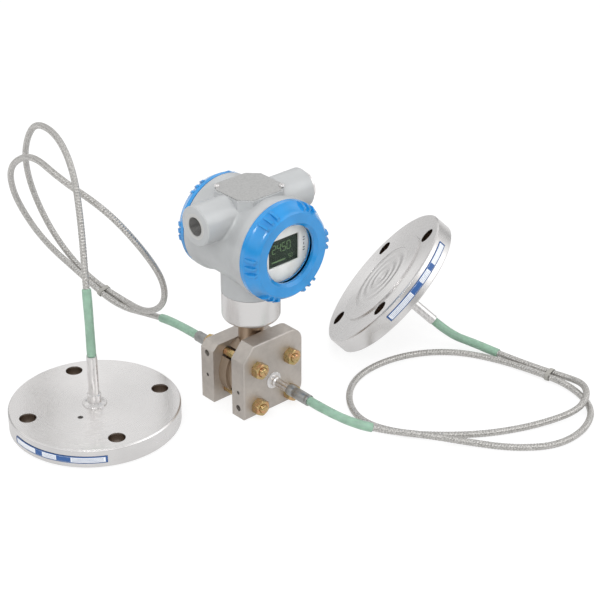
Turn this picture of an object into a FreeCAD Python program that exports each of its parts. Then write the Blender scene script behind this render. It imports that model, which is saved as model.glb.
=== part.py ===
"""Differential pressure transmitter with two remote flanged diaphragm seals on armoured capillaries.

Millimetres.  +Z is up and z = 0 is the surface that everything stands on.  +X is to the right of
somebody who faces the display, which looks along -Y.  The origin is the middle of the footprint.
"""
import FreeCAD
import Part
import Sketcher
import math
import os
from FreeCAD import Placement, Rotation, Vector

doc = FreeCAD.newDocument("pressure_transmitter")

# ---------------------------------------------------------------- driving sizes, all in one sheet

SIZES = {
    # where the three main pieces stand, from the middle of the footprint
    "stand_x": -13, "stand_y": -33.9,
    "low_seal_x": -179, "low_seal_y": 39.4,
    "high_seal_x": 181.3, "high_seal_y": -42.5,
    # clearances
    "seat_gap": 0.3, "turning_gap": 0.1, "bolt_gap": 0.5,
    # process heads and the bolts that clamp them on the measuring cell
    "head_width": 86, "head_height": 72, "head_thick": 21, "head_crown": 17, "head_ramp": 15,
    "head_corner": 17, "head_chamfer": 7, "cell_thick": 32, "cell_radius": 35.5, "cell_groove": 3.5,
    "bolt_square": 47, "stud_dia": 10, "nut_flats": 17, "nut_height": 9.5, "stud_proud": 3,
    "drain_dia": 7.5, "drain_deep": 14, "drain_height": 12, "vent_dia": 4.5,
    "pressure_port": 18, "gasket_outer": 46, "gasket_inner": 38, "gasket_thick": 2.4,
    # neck and turning collar
    "neck_dia": 29.5, "neck_foot": 76, "collar_dia": 66, "collar_bottom": 102, "collar_top": 137,
    "spigot_dia": 40, "spigot_height": 12,
    # housing
    "barrel_height": 204, "barrel_radius": 52, "front_face": 49, "rear_face": 47,
    "front_lip_radius": 57, "rear_lip_radius": 55, "front_bore": 42, "rear_bore": 40,
    "wall_front": 22, "wall_rear": 17, "hub_rise": 33, "hub_reach": 75, "hub_dia": 45,
    "conduit_dia": 21, "spare_entry_dia": 20, "conduit_deep": 57, "cast_fillet": 3, "cast_chamfer": 1.2,
    "platform_width": 66, "platform_depth": 62, "platform_corner": 12,
    "plate_screw_x": 26, "plate_screw_y": 23, "plate_thick": 1.2,
    # screwed covers
    "skirt_length": 10, "skirt_wall": 3.4, "front_cover_height": 21, "rear_cover_height": 15,
    "window_dia": 66, "glass_thick": 5.5, "rib_width": 3, "ring_gland": 2.4, "ring_width": 3.2,
    # display
    "bezel_dia": 75, "screen_width": 42, "screen_height": 31,
    # seals
    "flange_dia": 190.5, "flange_thick": 23.9, "raised_dia": 127, "raised_height": 1.6,
    "bolt_circle": 152.4, "bolt_hole": 19, "rim_chamfer": 1.5, "membrane_dia": 88,
    "membrane_recess": 1.2, "seal_weld_dia": 24, "seal_collar_dia": 15.5, "seal_collar_height": 13,
    "pipe_dia": 12, "seal_pipe_height": 60.7, "label_height": 8, "label_sweep": 70,
    "fill_port_dia": 6, "fill_port_deep": 6, "fill_port_radius": 32, "fill_port_angle": 133,
    "low_hole_turn": 72, "low_label_angle": -225, "high_lean": 48.4, "high_bearing": 133.4,
    "high_label_angle": 52,
    # capillaries
    "hose_dia": 7.6, "sleeve_dia": 10.4, "tie_width": 5, "tie_thick": 0.9, "tie_gap": 0.5,
    "head_pipe_dia": 10, "head_pipe_length": 60,
}

dims = doc.addObject("Spreadsheet::Sheet", "dims")
for row, (alias, number) in enumerate(SIZES.items(), start=1):
    dims.set("A%d" % row, alias)
    dims.set("B%d" % row, str(number))
    dims.setAlias("B%d" % row, alias)
doc.recompute()

PARTS = []
HALF_TURN = Rotation(Vector(0, 0, 1), 180)
FACING_FRONT = Rotation(Vector(1, 0, 0), 90)
FACING_REAR = HALF_TURN.multiply(FACING_FRONT)


def value(formula):
    """The number that a formula in the sheet's names comes to."""
    return float(dims.evalExpression(formula))


# ---------------------------------------------------------------- tools of the trade

def keep(thing, label):
    """Name a finished piece; its label names its file."""
    thing.Label = label
    PARTS.append(thing)
    return thing


def stand(thing, x="0", y="0", z="0", turn=Rotation()):
    """Put a piece at a place given by formulas, turned by a fixed rotation."""
    thing.Placement = Placement(Vector(value(x), value(y), value(z)), turn)
    thing.setExpression("Placement.Base.x", x)
    thing.setExpression("Placement.Base.y", y)
    thing.setExpression("Placement.Base.z", z)


def on_stand(thing, y="0", z="0", turn=Rotation()):
    """Put a piece of the transmitter at a distance in front of or behind its upright axis."""
    stand(thing, "dims.stand_x", "dims.stand_y + (%s)" % y, z, turn)


def new_body(label):
    return keep(doc.addObject("PartDesign::Body", label), label)


def sketch_on(body, role, offset="0", tilt=Rotation()):
    """An empty sketch on one of the body's own origin planes, moved along its normal."""
    sketch = body.newObject("Sketcher::SketchObject", "Sketch")
    plane = [item for item in body.Origin.OriginFeatures if item.Role == role][0]
    sketch.AttachmentSupport = [(plane, "")]
    sketch.MapMode = "FlatFace"
    sketch.AttachmentOffset = Placement(Vector(0, 0, value(offset)), tilt)
    sketch.setExpression("AttachmentOffset.Base.z", offset)
    return sketch


def pin_point(sketch, edge, end, x, y):
    """Hold a point of the sketch at formulas for its two distances from the origin."""
    for kind, formula in (("DistanceX", x), ("DistanceY", y)):
        index = sketch.addConstraint(Sketcher.Constraint(kind, -1, 1, edge, end, value(formula)))
        sketch.setExpression("Constraints[%d]" % index, formula)


def polygon(sketch, corners):
    """A closed outline of straight lines whose corners are pairs of formulas."""
    places = [Vector(value(x), value(y), 0) for x, y in corners]
    first = sketch.GeometryCount
    count = len(corners)
    for index in range(count):
        sketch.addGeometry(Part.LineSegment(places[index], places[(index + 1) % count]), False)
    for index in range(count):
        follower = first + (index + 1) % count
        sketch.addConstraint(Sketcher.Constraint("Coincident", first + index, 2, follower, 1))
    for index, (x, y) in enumerate(corners):
        pin_point(sketch, first + index, 1, x, y)
    return sketch


def circle(sketch, radius, x="0", y="0"):
    """A circle whose radius and centre are formulas."""
    centre = Vector(value(x), value(y), 0)
    index = sketch.addGeometry(Part.Circle(centre, Vector(0, 0, 1), value(radius)), False)
    pin_point(sketch, index, 3, x, y)
    bound = sketch.addConstraint(Sketcher.Constraint("Radius", index, value(radius)))
    sketch.setExpression("Constraints[%d]" % bound, radius)
    return sketch


def box_corners(x0, x1, y0, y1):
    return [(x0, y0), (x1, y0), (x1, y1), (x0, y1)]


def revolve(body, sketch, kind="Revolution"):
    """Turn a sketch about its own upright axis, to add or (as a Groove) to cut."""
    feature = body.newObject("PartDesign::" + kind, kind)
    feature.Profile = sketch
    feature.ReferenceAxis = (sketch, ["V_Axis"])
    feature.Angle = 360
    return feature


def pad(body, sketch, length, reverse=False, both=False):
    """Raise a sketch by a length, a formula, along its normal."""
    feature = body.newObject("PartDesign::Pad", "Pad")
    feature.Profile = sketch
    feature.setExpression("Length", length)
    feature.Reversed = reverse
    feature.Midplane = both
    return feature


def pocket(body, sketch, length, reverse=False, both=False):
    """Cut a sketch into the body by a length, and make sure that it does cut."""
    doc.recompute()
    before = body.Shape.Volume
    feature = body.newObject("PartDesign::Pocket", "Pocket")
    feature.Profile = sketch
    feature.setExpression("Length", length)
    feature.Reversed = reverse
    feature.Midplane = both
    doc.recompute()
    if not body.Shape.Volume < before:
        raise RuntimeError("a pocket cut nothing in " + body.Label)
    return feature


def around(body, features, count):
    """Repeat features round the body's upright axis."""
    pattern = body.newObject("PartDesign::PolarPattern", "Around")
    axis = [item for item in body.Origin.OriginFeatures if item.Role == "Z_Axis"][0]
    pattern.Originals = features
    pattern.Axis = (axis, [""])
    pattern.Angle = 360
    pattern.Occurrences = count
    body.Tip = pattern
    return pattern


def soften(body, kind, size, picked):
    """A Fillet or Chamfer of a size, a formula, on the edges that a test picks."""
    doc.recompute()
    names = ["Edge%d" % (n + 1) for n, edge in enumerate(body.Shape.Edges) if picked(edge)]
    base = body.Tip
    feature = body.newObject("PartDesign::" + kind, kind)
    feature.Base = (base, names)
    feature.setExpression("Radius" if kind == "Fillet" else "Size", size)
    body.Tip = feature
    return feature


def is_ring(edge, radius, height):
    """True for a full circle of a radius at a height in the body's own frame."""
    curve = edge.Curve
    if not isinstance(curve, Part.Circle):
        return False
    return abs(curve.Radius - radius) < 1e-4 and abs(curve.Center.z - height) < 1e-4


def turned(label, corners):
    """A piece turned about its upright axis from an outline of (radius, height) formulas."""
    body = new_body(label)
    revolve(body, polygon(sketch_on(body, "XZ_Plane"), corners))
    return body


def group(label, solids):
    """Several loose solids of one kind that share a piece, such as a set of nuts."""
    piece = doc.addObject("Part::Compound", label)
    piece.Links = solids
    return keep(piece, label)


def rod(radius, length, place, direction):
    """A plain cylinder whose sizes are formulas, from a place along a direction."""
    solid = doc.addObject("Part::Cylinder", "Rod")
    solid.setExpression("Radius", radius)
    solid.setExpression("Height", length)
    stand(solid, *place, turn=Rotation(Vector(0, 0, 1), direction))
    return solid


# ---------------------------------------------------------------- measuring cell and heads

def bolt_places():
    """The four corners of the bolt square as formulas for x and z, about the cell's centre."""
    half = "dims.bolt_square / 2"
    return [("%s%s" % (sx, half), "%s%s" % (sz, half)) for sx in ("", "-") for sz in ("", "-")]


def measuring_cell():
    """Round cell between the heads: a grooved disc, scalloped for the bolts, with a top boss.

    The cell lies on its side, so its boss is raised along the cell's own +Y.
    """
    body = new_body("measuring_cell")
    half, lip, floor = "dims.cell_thick / 2", "dims.cell_radius", "dims.cell_radius - dims.cell_groove"
    revolve(body, polygon(sketch_on(body, "XZ_Plane"), [
        ("0", "-" + half), (lip, "-" + half), (lip, "-4"), (floor, "-3"), (floor, "3"), (lip, "4"),
        (lip, half), ("0", half)]))
    boss = circle(sketch_on(body, "XZ_Plane"), "dims.neck_dia / 2 - 1.5")
    pad(body, boss, "dims.neck_foot - dims.head_height / 2", reverse=True)
    scallops = sketch_on(body, "XY_Plane")
    for x, z in bolt_places():
        circle(scallops, "dims.stud_dia / 2 + 2", x, z)
    pocket(body, scallops, "dims.cell_thick * 2", both=True)
    on_stand(body, z="dims.head_height / 2", turn=FACING_FRONT)
    return body


def process_head(label, front):
    """A cast head: one side has a crowned top with a ramp, the other a plain chamfered top."""
    body = new_body(label)
    side, top = "dims.head_width / 2", "dims.head_height"
    if front:
        crown = "dims.head_height + dims.head_crown"
        outline = [("-" + side, "0"), (side, "0"), (side, crown),
                   ("-%s + dims.head_ramp" % side, crown), ("-" + side, top)]
    else:
        cut = "dims.head_chamfer"
        outline = [("-" + side, "0"), (side, "0"), (side, "%s - %s" % (top, cut)),
                   ("%s - %s" % (side, cut), top), ("-%s + %s" % (side, cut), top),
                   ("-" + side, "%s - %s" % (top, cut))]
    pad(body, polygon(sketch_on(body, "XY_Plane"), outline), "dims.head_thick")
    doc.recompute()
    if front:
        x, y = value(side), value("dims.head_height + dims.head_crown")
        soften(body, "Fillet", "dims.head_corner",
               lambda edge: upright_at(edge, x, y) or upright_at(edge, x, 0))
    bolts = sketch_on(body, "XY_Plane")
    for x, z in bolt_places():
        circle(bolts, "(dims.stud_dia + dims.bolt_gap) / 2", x, "dims.head_height / 2 + " + z)
    pocket(body, bolts, "dims.head_thick", reverse=True)
    seat = circle(sketch_on(body, "XY_Plane"), "dims.gasket_outer / 2 + 0.2", "0", "dims.head_height / 2")
    circle(seat, "dims.gasket_inner / 2 - 0.2", "0", "dims.head_height / 2")
    pocket(body, seat, "dims.gasket_thick", reverse=True)
    port = circle(sketch_on(body, "XY_Plane"), "dims.pressure_port / 2", "0", "dims.head_height / 2")
    pocket(body, port, "dims.head_thick - 5", reverse=True)
    height = "dims.drain_height" if front else "dims.head_height - dims.drain_height"
    hand = "" if front else "-"
    drain = circle(sketch_on(body, "YZ_Plane", "-(%s%s)" % (hand, side)),
                   "dims.drain_dia / 2", height, "dims.head_thick / 2")
    pocket(body, drain, "dims.drain_deep", reverse=front)
    vent = circle(sketch_on(body, "YZ_Plane", "-(%s%s)" % (hand, side)),
                  "dims.vent_dia / 2", "dims.head_height / 2 - 4", "dims.head_thick / 2")
    pocket(body, vent, "dims.drain_deep", reverse=front)
    if front:
        soften(body, "Chamfer", "1.2", lambda edge: on_outer_rim(edge, value("dims.head_thick")))
    if front:
        on_stand(body, "-dims.cell_thick / 2", "0", FACING_FRONT)
    else:
        on_stand(body, "dims.cell_thick / 2", "0", FACING_REAR)
    return body


def upright_at(edge, x, y):
    """True for a straight edge along the body's Z at a place."""
    ends = [vertex.Point for vertex in edge.Vertexes]
    if len(ends) < 2 or abs(ends[0].z - ends[1].z) < 1:
        return False
    return all(abs(end.x - x) < 1e-4 and abs(end.y - y) < 1e-4 for end in ends)


def on_outer_rim(edge, height):
    """True for an edge of the head's outline on the face at a height, not of a hole in it."""
    if any(abs(vertex.Point.z - height) > 1e-4 for vertex in edge.Vertexes):
        return False
    curve = edge.Curve
    if isinstance(curve, Part.Circle):
        return abs(curve.Radius - value("dims.head_corner")) < 1e-4
    return True


def head_fasteners():
    """Four studs through both heads, a nut on each end, and the two gaskets."""
    reach = "(dims.cell_thick / 2 + dims.head_thick + dims.nut_height + dims.stud_proud)"
    studs = []
    nuts = []
    for x, z in bolt_places():
        place = ("dims.stand_x + " + x, "dims.stand_y - " + reach, "dims.head_height / 2 + " + z)
        stud = rod("dims.stud_dia / 2", "2 * " + reach, place, Vector(0, 1, 0))
        studs.append(stud)
        for way in ("-", ""):
            nut = doc.addObject("Part::Prism", "NutBlank")
            nut.Polygon = 6
            nut.setExpression("Circumradius", "dims.nut_flats / sqrt(3)")
            nut.setExpression("Height", "dims.nut_height")
            face = "dims.stand_y %s (dims.cell_thick / 2 + dims.head_thick)" % (way or "+")
            turn = FACING_FRONT if way else FACING_REAR
            stand(nut, "dims.stand_x + " + x, face, "dims.head_height / 2 + " + z, turn)
            bore = doc.addObject("Part::Cylinder", "NutBore")
            bore.setExpression("Radius", "dims.stud_dia / 2 + 0.05")
            bore.setExpression("Height", "dims.nut_height")
            stand(bore, "dims.stand_x + " + x, face, "dims.head_height / 2 + " + z, turn)
            cut = doc.addObject("Part::Cut", "Nut")
            cut.Base = nut
            cut.Tool = bore
            nuts.append(cut)
    group("head_studs", studs)
    group("head_nuts", nuts)


def head_gaskets():
    """Flat rings in the grooves of the two heads, pressed on the cell's faces."""
    rings = []
    for way in (-1, 1):
        face = "dims.stand_y + %d * dims.cell_thick / 2" % way
        place = ("dims.stand_x", face, "dims.head_height / 2")
        outward = Vector(0, way, 0)
        outer = rod("dims.gasket_outer / 2", "dims.gasket_thick - 0.1", place, outward)
        inner = rod("dims.gasket_inner / 2", "dims.gasket_thick - 0.1", place, outward)
        ring = doc.addObject("Part::Cut", "Gasket")
        ring.Base = outer
        ring.Tool = inner
        rings.append(ring)
    group("head_gaskets", rings)


def vent_screws():
    """A small slotted screw in the side of each head, just below its surface."""
    screws = []
    for way in (-1, 1):
        place = ("dims.stand_x - dims.head_width / 2 + 0.8",
                 "dims.stand_y + %d * (dims.cell_thick / 2 + dims.head_thick / 2)" % way,
                 "dims.head_height / 2 - 4")
        screws.append(rod("dims.vent_dia / 2 - 0.05", "dims.drain_deep - 1", place, Vector(1, 0, 0)))
    group("vent_screws", screws)


def head_pipe(label, way, turn):
    """The welded stub that carries a capillary out of the middle of a head."""
    body = turned(label, [
        ("0", "0"), ("10", "0"), ("10", "0.8"), ("8.6", "1.4"), ("6.2", "1.4"), ("6.2", "6"),
        ("dims.head_pipe_dia / 2", "7.5"), ("dims.head_pipe_dia / 2", "dims.head_pipe_length"),
        ("0", "dims.head_pipe_length")])
    on_stand(body, "%d * (dims.cell_thick / 2 + dims.head_thick)" % way, "dims.head_height / 2", turn)


def neck_collar():
    """Narrow neck and stainless collar, with the spigot that the housing turns on."""
    neck, rim, spigot = "dims.neck_dia / 2", "dims.collar_dia / 2", "dims.spigot_dia / 2"
    foot = "dims.neck_foot"
    body = turned("neck_collar", [
        ("0", foot), (neck, foot), (neck, "dims.collar_bottom - 3"),
        (neck + " + 1.5", "dims.collar_bottom"), (rim, "dims.collar_bottom"),
        (rim, "dims.collar_top"), (spigot, "dims.collar_top"),
        (spigot, "dims.collar_top + dims.spigot_height"), ("0", "dims.collar_top + dims.spigot_height")])
    soften(body, "Fillet", "7",
           lambda edge: is_ring(edge, value(rim), value("dims.collar_bottom")))
    on_stand(body)


# ---------------------------------------------------------------- housing

def housing_casting():
    """Two-compartment casting on a round neck, with two conduit hubs and a name plate seat."""
    body = new_body("housing")
    lip, mid, back = "dims.front_lip_radius", "dims.barrel_radius", "dims.rear_lip_radius"
    front, rear = "-dims.front_face", "dims.rear_face"
    revolve(body, polygon(sketch_on(body, "XY_Plane"), [
        ("0", front), (lip, front), (lip, front + " + 8"), (mid + " + 1.5", front + " + 20"),
        (mid, "0"), (mid, rear + " - 18"), (back, rear + " - 8"), (back, rear), ("0", rear)]))
    drop = "dims.barrel_height - dims.collar_top - dims.seat_gap"
    pad(body, circle(sketch_on(body, "XY_Plane"), "dims.collar_dia / 2"), drop, reverse=True)
    soften(body, "Fillet", "dims.cast_fillet", lambda edge: is_seam(edge) and edge.BoundBox.ZMax < 0)
    for way in (-1, 1):
        hub = circle(sketch_on(body, "YZ_Plane", "%d * 24" % way), "dims.hub_dia / 2", "0", "dims.hub_rise")
        pad(body, hub, "dims.hub_reach - 24", reverse=way < 0)
    soften(body, "Fillet", "dims.cast_fillet", lambda edge: is_seam(edge) and edge.BoundBox.ZMax > 0)
    half_w, half_d = "dims.platform_width / 2", "dims.platform_depth / 2"
    outline = platform_outline(half_w, half_d, "dims.platform_corner")
    seat = polygon(sketch_on(body, "XY_Plane", "30"), outline)
    pad(body, seat, "dims.hub_rise + dims.hub_dia / 2 - 30")
    doc.recompute()
    cavities = [
        ("dims.front_bore", front + " - 1", "-dims.wall_front"),
        ("dims.rear_bore", "-dims.wall_rear", rear + " + 1"),
        ("dims.front_bore + dims.ring_width", front + " - 1", front + " + dims.ring_gland"),
        ("dims.rear_bore + dims.ring_width", rear + " - dims.ring_gland", rear + " + 1")]
    for bore, start, stop in cavities:
        revolve(body, polygon(sketch_on(body, "XY_Plane"), box_corners("0", bore, start, stop)), "Groove")
    for way, bore_dia in ((-1, "dims.conduit_dia"), (1, "dims.spare_entry_dia")):
        mouth = "%d * dims.hub_reach" % way
        bore = circle(sketch_on(body, "YZ_Plane", mouth), bore_dia + " / 2", "0", "dims.hub_rise")
        pocket(body, bore, "dims.conduit_deep", reverse=way < 0)
    spigot = circle(sketch_on(body, "XY_Plane", "-(%s)" % drop), "dims.spigot_dia / 2 + dims.turning_gap")
    pocket(body, spigot, "dims.spigot_height + 2", reverse=True)
    wires = circle(sketch_on(body, "XY_Plane", "-(%s)" % drop), "8", "0", "6")
    pocket(body, wires, "30", reverse=True)
    screws = sketch_on(body, "XY_Plane", "dims.hub_rise + dims.hub_dia / 2")
    for way in ("-", ""):
        circle(screws, "1.6", way + "dims.plate_screw_x", ("" if way else "-") + "dims.plate_screw_y")
    pocket(body, screws, "7")
    rims = [(lip, "dims.front_face"), (back, "dims.rear_face"), ("dims.hub_dia / 2", "dims.hub_reach")]
    rims = [(value(radius), value(reach)) for radius, reach in rims]
    soften(body, "Chamfer", "dims.cast_chamfer",
           lambda edge: any(is_mouth(edge, radius, reach) for radius, reach in rims))
    on_stand(body, z="dims.barrel_height")
    return body


def is_mouth(edge, radius, reach):
    """True for a round edge of a radius, centred at a distance along the body's X or Y."""
    curve = edge.Curve
    if not isinstance(curve, Part.Circle) or abs(curve.Radius - radius) > 1e-4:
        return False
    return abs(max(abs(curve.Center.x), abs(curve.Center.y)) - reach) < 1e-4


def is_seam(edge):
    """True for a curve where two round forms of a casting meet."""
    return isinstance(edge.Curve, Part.BSplineCurve)


def platform_outline(half_w, half_d, cut):
    """A rectangle with its corners cut off."""
    return [("-%s + %s" % (half_w, cut), "-" + half_d), ("%s - %s" % (half_w, cut), "-" + half_d),
            (half_w, "-%s + %s" % (half_d, cut)), (half_w, "%s - %s" % (half_d, cut)),
            ("%s - %s" % (half_w, cut), half_d), ("-%s + %s" % (half_w, cut), half_d),
            ("-" + half_w, "%s - %s" % (half_d, cut)), ("-" + half_w, "-%s + %s" % (half_d, cut))]


def name_plate():
    """Plain plate on top of the housing and the two screws that hold it."""
    body = new_body("name_plate")
    inset = " - 1.5"
    outline = platform_outline("(dims.platform_width / 2%s)" % inset, "(dims.platform_depth / 2%s)" % inset,
                               "dims.platform_corner")
    pad(body, polygon(sketch_on(body, "XY_Plane"), outline), "dims.plate_thick")
    holes = sketch_on(body, "XY_Plane")
    for way in ("-", ""):
        circle(holes, "1.8", way + "dims.plate_screw_x", ("" if way else "-") + "dims.plate_screw_y")
    pocket(body, holes, "dims.plate_thick", reverse=True)
    top = "dims.barrel_height + dims.hub_rise + dims.hub_dia / 2"
    on_stand(body, z=top)
    screws = []
    for way in (-1, 1):
        place = ("dims.stand_x + %d * dims.plate_screw_x" % way,
                 "dims.stand_y - %d * dims.plate_screw_y" % way, top + " + dims.plate_thick")
        head = rod("3.2", "2.6", place, Vector(0, 0, 1))
        shank = rod("1.5", "6", place, Vector(0, 0, -1))
        screw = doc.addObject("Part::Fuse", "PlateScrew")
        screw.Base = head
        screw.Tool = shank
        screws.append(screw)
    group("name_plate_screws", screws)


def conduit_plug():
    """Hexagon plug that closes the spare conduit entry."""
    body = new_body("conduit_plug")
    shank = circle(sketch_on(body, "XY_Plane"), "dims.spare_entry_dia / 2 - dims.turning_gap")
    pad(body, shank, "16", reverse=True)
    pad(body, circle(sketch_on(body, "XY_Plane"), "dims.hub_dia / 2 - 6"), "6")
    doc.recompute()
    key = sketch_on(body, "XY_Plane", "6")
    corners = [("%.6f * 6" % math.cos(math.radians(60 * n)), "%.6f * 6" % math.sin(math.radians(60 * n)))
               for n in range(6)]
    pocket(body, polygon(key, corners), "5")
    stand(body, "dims.stand_x + dims.hub_reach", "dims.stand_y", "dims.barrel_height + dims.hub_rise",
          Rotation(Vector(0, 1, 0), 90))


# ---------------------------------------------------------------- covers and their seals

def front_cover():
    """Screwed cover with a round window, ribbed round its edge for the hand."""
    skirt, rim = "(dims.front_bore - dims.turning_gap)", "(dims.front_lip_radius - 0.5)"
    inner = "(dims.front_bore - dims.turning_gap - dims.skirt_wall)"
    seat, window, top = "dims.seat_gap", "dims.window_dia / 2", "dims.front_cover_height"
    glass_foot = "(%s - 6.5 - dims.glass_thick)" % top
    body = turned("front_cover", [
        (inner, "-dims.skirt_length"), (skirt, "-dims.skirt_length"), (skirt, seat), (rim, seat),
        (rim, "6"), (rim + " - 1", "7"), (rim + " - 6", top + " - 3"), (rim + " - 9", top),
        (window + " + 3.5", top), (window, top + " - 3.5"), (window, top + " - 6.5"),
        (window + " + 4", top + " - 6.5"), (window + " + 4", glass_foot + " - 2"),
        (inner, glass_foot + " - 2")])
    ribs = []
    for turn in (-9, 0, 9):
        sketch = sketch_on(body, "XZ_Plane", tilt=Rotation(Vector(0, 1, 0), turn))
        polygon(sketch, [(rim + " - 9", "7"), (rim + " - 0.3", "7"), (rim + " - 0.3", "13"),
                         (rim + " - 3.5", top + " - 1.5"), (rim + " - 9", top + " - 1.5")])
        ribs.append(pad(body, sketch, "dims.rib_width", both=True))
    doc.recompute()
    around(body, ribs, 6)
    on_stand(body, "-dims.front_face", "dims.barrel_height", FACING_FRONT)

    glass = turned("window_glass", [
        ("0", glass_foot), (window + " + 3.8", glass_foot),
        (window + " + 3.8", glass_foot + " + dims.glass_thick"), ("0", glass_foot + " + dims.glass_thick")])
    on_stand(glass, "-dims.front_face", "dims.barrel_height", FACING_FRONT)
    ring = turned("window_ring", [
        (window + " + 1", glass_foot + " - 2"), (window + " + 3.9", glass_foot + " - 2"),
        (window + " + 3.9", glass_foot), (window + " + 1", glass_foot)])
    on_stand(ring, "-dims.front_face", "dims.barrel_height", FACING_FRONT)


def rear_cover():
    """Plain screwed cover of the terminal side."""
    skirt, rim = "(dims.rear_bore - dims.turning_gap)", "(dims.rear_lip_radius - 0.5)"
    inner = "(dims.rear_bore - dims.turning_gap - dims.skirt_wall)"
    seat, top = "dims.seat_gap", "dims.rear_cover_height"
    body = turned("rear_cover", [
        (inner, "-dims.skirt_length"), (skirt, "-dims.skirt_length"), (skirt, seat), (rim, seat),
        (rim, "5"), (rim + " - 1", "6"), (rim + " - 4", top + " - 2.5"), (rim + " - 7", top),
        ("0", top), ("0", top + " - 5"), (inner, top + " - 5")])
    ribs = []
    for turn in (-9, 0, 9):
        sketch = sketch_on(body, "XZ_Plane", tilt=Rotation(Vector(0, 1, 0), turn))
        polygon(sketch, [(rim + " - 7", "6"), (rim + " - 0.3", "6"), (rim + " - 0.3", "9"),
                         (rim + " - 3", top + " - 1.5"), (rim + " - 7", top + " - 1.5")])
        ribs.append(pad(body, sketch, "dims.rib_width", both=True))
    doc.recompute()
    around(body, ribs, 6)
    on_stand(body, "dims.rear_face", "dims.barrel_height", FACING_REAR)


def sealing_ring(label, bore, face, turn):
    """Rubber ring in the step of a cover seat."""
    ring = doc.addObject("Part::Torus", label)
    ring.setExpression("Radius1", "dims.%s + dims.ring_width / 2" % bore)
    ring.setExpression("Radius2", "dims.ring_gland / 2 - 0.1")
    sign = "-" if face == "front_face" else ""
    inset = "%s(dims.%s - dims.ring_gland / 2)" % (sign, face)
    on_stand(ring, inset, "dims.barrel_height", turn)
    keep(ring, label)


# ---------------------------------------------------------------- display and terminals

def display():
    """Circuit board, its moulded can, the liquid crystal screen and the white bezel."""
    depth = "dims.front_face - dims.wall_front"
    board = turned("circuit_board", [
        ("0", "-(%s)" % depth), ("dims.front_bore - 3", "-(%s)" % depth),
        ("dims.front_bore - 3", "-(%s) + 1.6" % depth), ("0", "-(%s) + 1.6" % depth)])
    on_stand(board, "-dims.front_face", "dims.barrel_height", FACING_FRONT)
    can = turned("electronics_can", [
        ("0", "-(%s) + 1.6" % depth), ("dims.bezel_dia / 2 - 3", "-(%s) + 1.6" % depth),
        ("dims.bezel_dia / 2 - 3", "0.5"), ("0", "0.5")])
    on_stand(can, "-dims.front_face", "dims.barrel_height", FACING_FRONT)
    half_w, half_h = "dims.screen_width / 2", "dims.screen_height / 2"
    screen = new_body("display_screen")
    panel = box_corners("-%s - 2" % half_w, half_w + " + 2", "-%s - 2" % half_h, half_h + " + 2")
    pad(screen, polygon(sketch_on(screen, "XY_Plane", "0.5"), panel), "3")
    on_stand(screen, "-dims.front_face", "dims.barrel_height", FACING_FRONT)
    rim = "dims.bezel_dia / 2"
    bezel = turned("display_bezel", [
        ("0", "3.6"), (rim + " - 2.8", "3.6"), (rim + " - 2.8", "-4"), (rim, "-4"), (rim, "4.4"),
        (rim + " - 0.8", "5.2"), ("0", "5.2")])
    doc.recompute()
    opening = box_corners("-" + half_w, half_w, "-" + half_h, half_h)
    pocket(bezel, polygon(sketch_on(bezel, "XY_Plane", "5.2"), opening), "1.6")
    on_stand(bezel, "-dims.front_face", "dims.barrel_height", FACING_FRONT)


def terminals():
    """Terminal strip on the rear compartment's floor, with its four clamp screws."""
    depth = "dims.rear_face + dims.wall_rear"
    block = new_body("terminal_block")
    foot = sketch_on(block, "XY_Plane", "-(%s)" % depth)
    pad(block, polygon(foot, box_corners("-27", "27", "-26", "2")), "14")
    doc.recompute()
    bays = sketch_on(block, "XY_Plane", "-(%s) + 14" % depth)
    for column in range(4):
        left = -25 + 13 * column
        polygon(bays, box_corners("%d" % left, "%d" % (left + 11), "-24", "0"))
    pocket(block, bays, "4")
    on_stand(block, "dims.rear_face", "dims.barrel_height", FACING_REAR)
    screws = []
    for column in range(4):
        offset = -19.5 + 13 * column
        place = ("dims.stand_x - (%.1f)" % offset, "dims.stand_y - dims.wall_rear + 10",
                 "dims.barrel_height - 12")
        screws.append(rod("3.2", "3", place, Vector(0, 1, 0)))
    group("terminal_screws", screws)


# ---------------------------------------------------------------- remote seals

def seal_frame(side):
    """Where a seal's process face lies and how it is turned; its own +Z points to its back."""
    if side == "low":
        turn = Rotation(Vector(0, 0, 1), value("dims.low_hole_turn"))
        return ("dims.low_seal_x", "dims.low_seal_y", "0"), turn
    lean = value("dims.high_lean")
    bearing = value("dims.high_bearing")
    turn = Rotation(Vector(0, 0, 1), bearing).multiply(Rotation(Vector(0, 1, 0), lean + 180))
    lift = "dims.flange_dia / 2 * sin(dims.high_lean) + dims.flange_thick * cos(dims.high_lean)"
    return ("dims.high_seal_x", "dims.high_seal_y", lift), turn


def seal_point(side, height):
    """A point on a seal's axis, at a height above its process face."""
    place, turn = seal_frame(side)
    foot = Vector(*[value(formula) for formula in place])
    return foot + turn.multVec(Vector(0, 0, value(height)))


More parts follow.
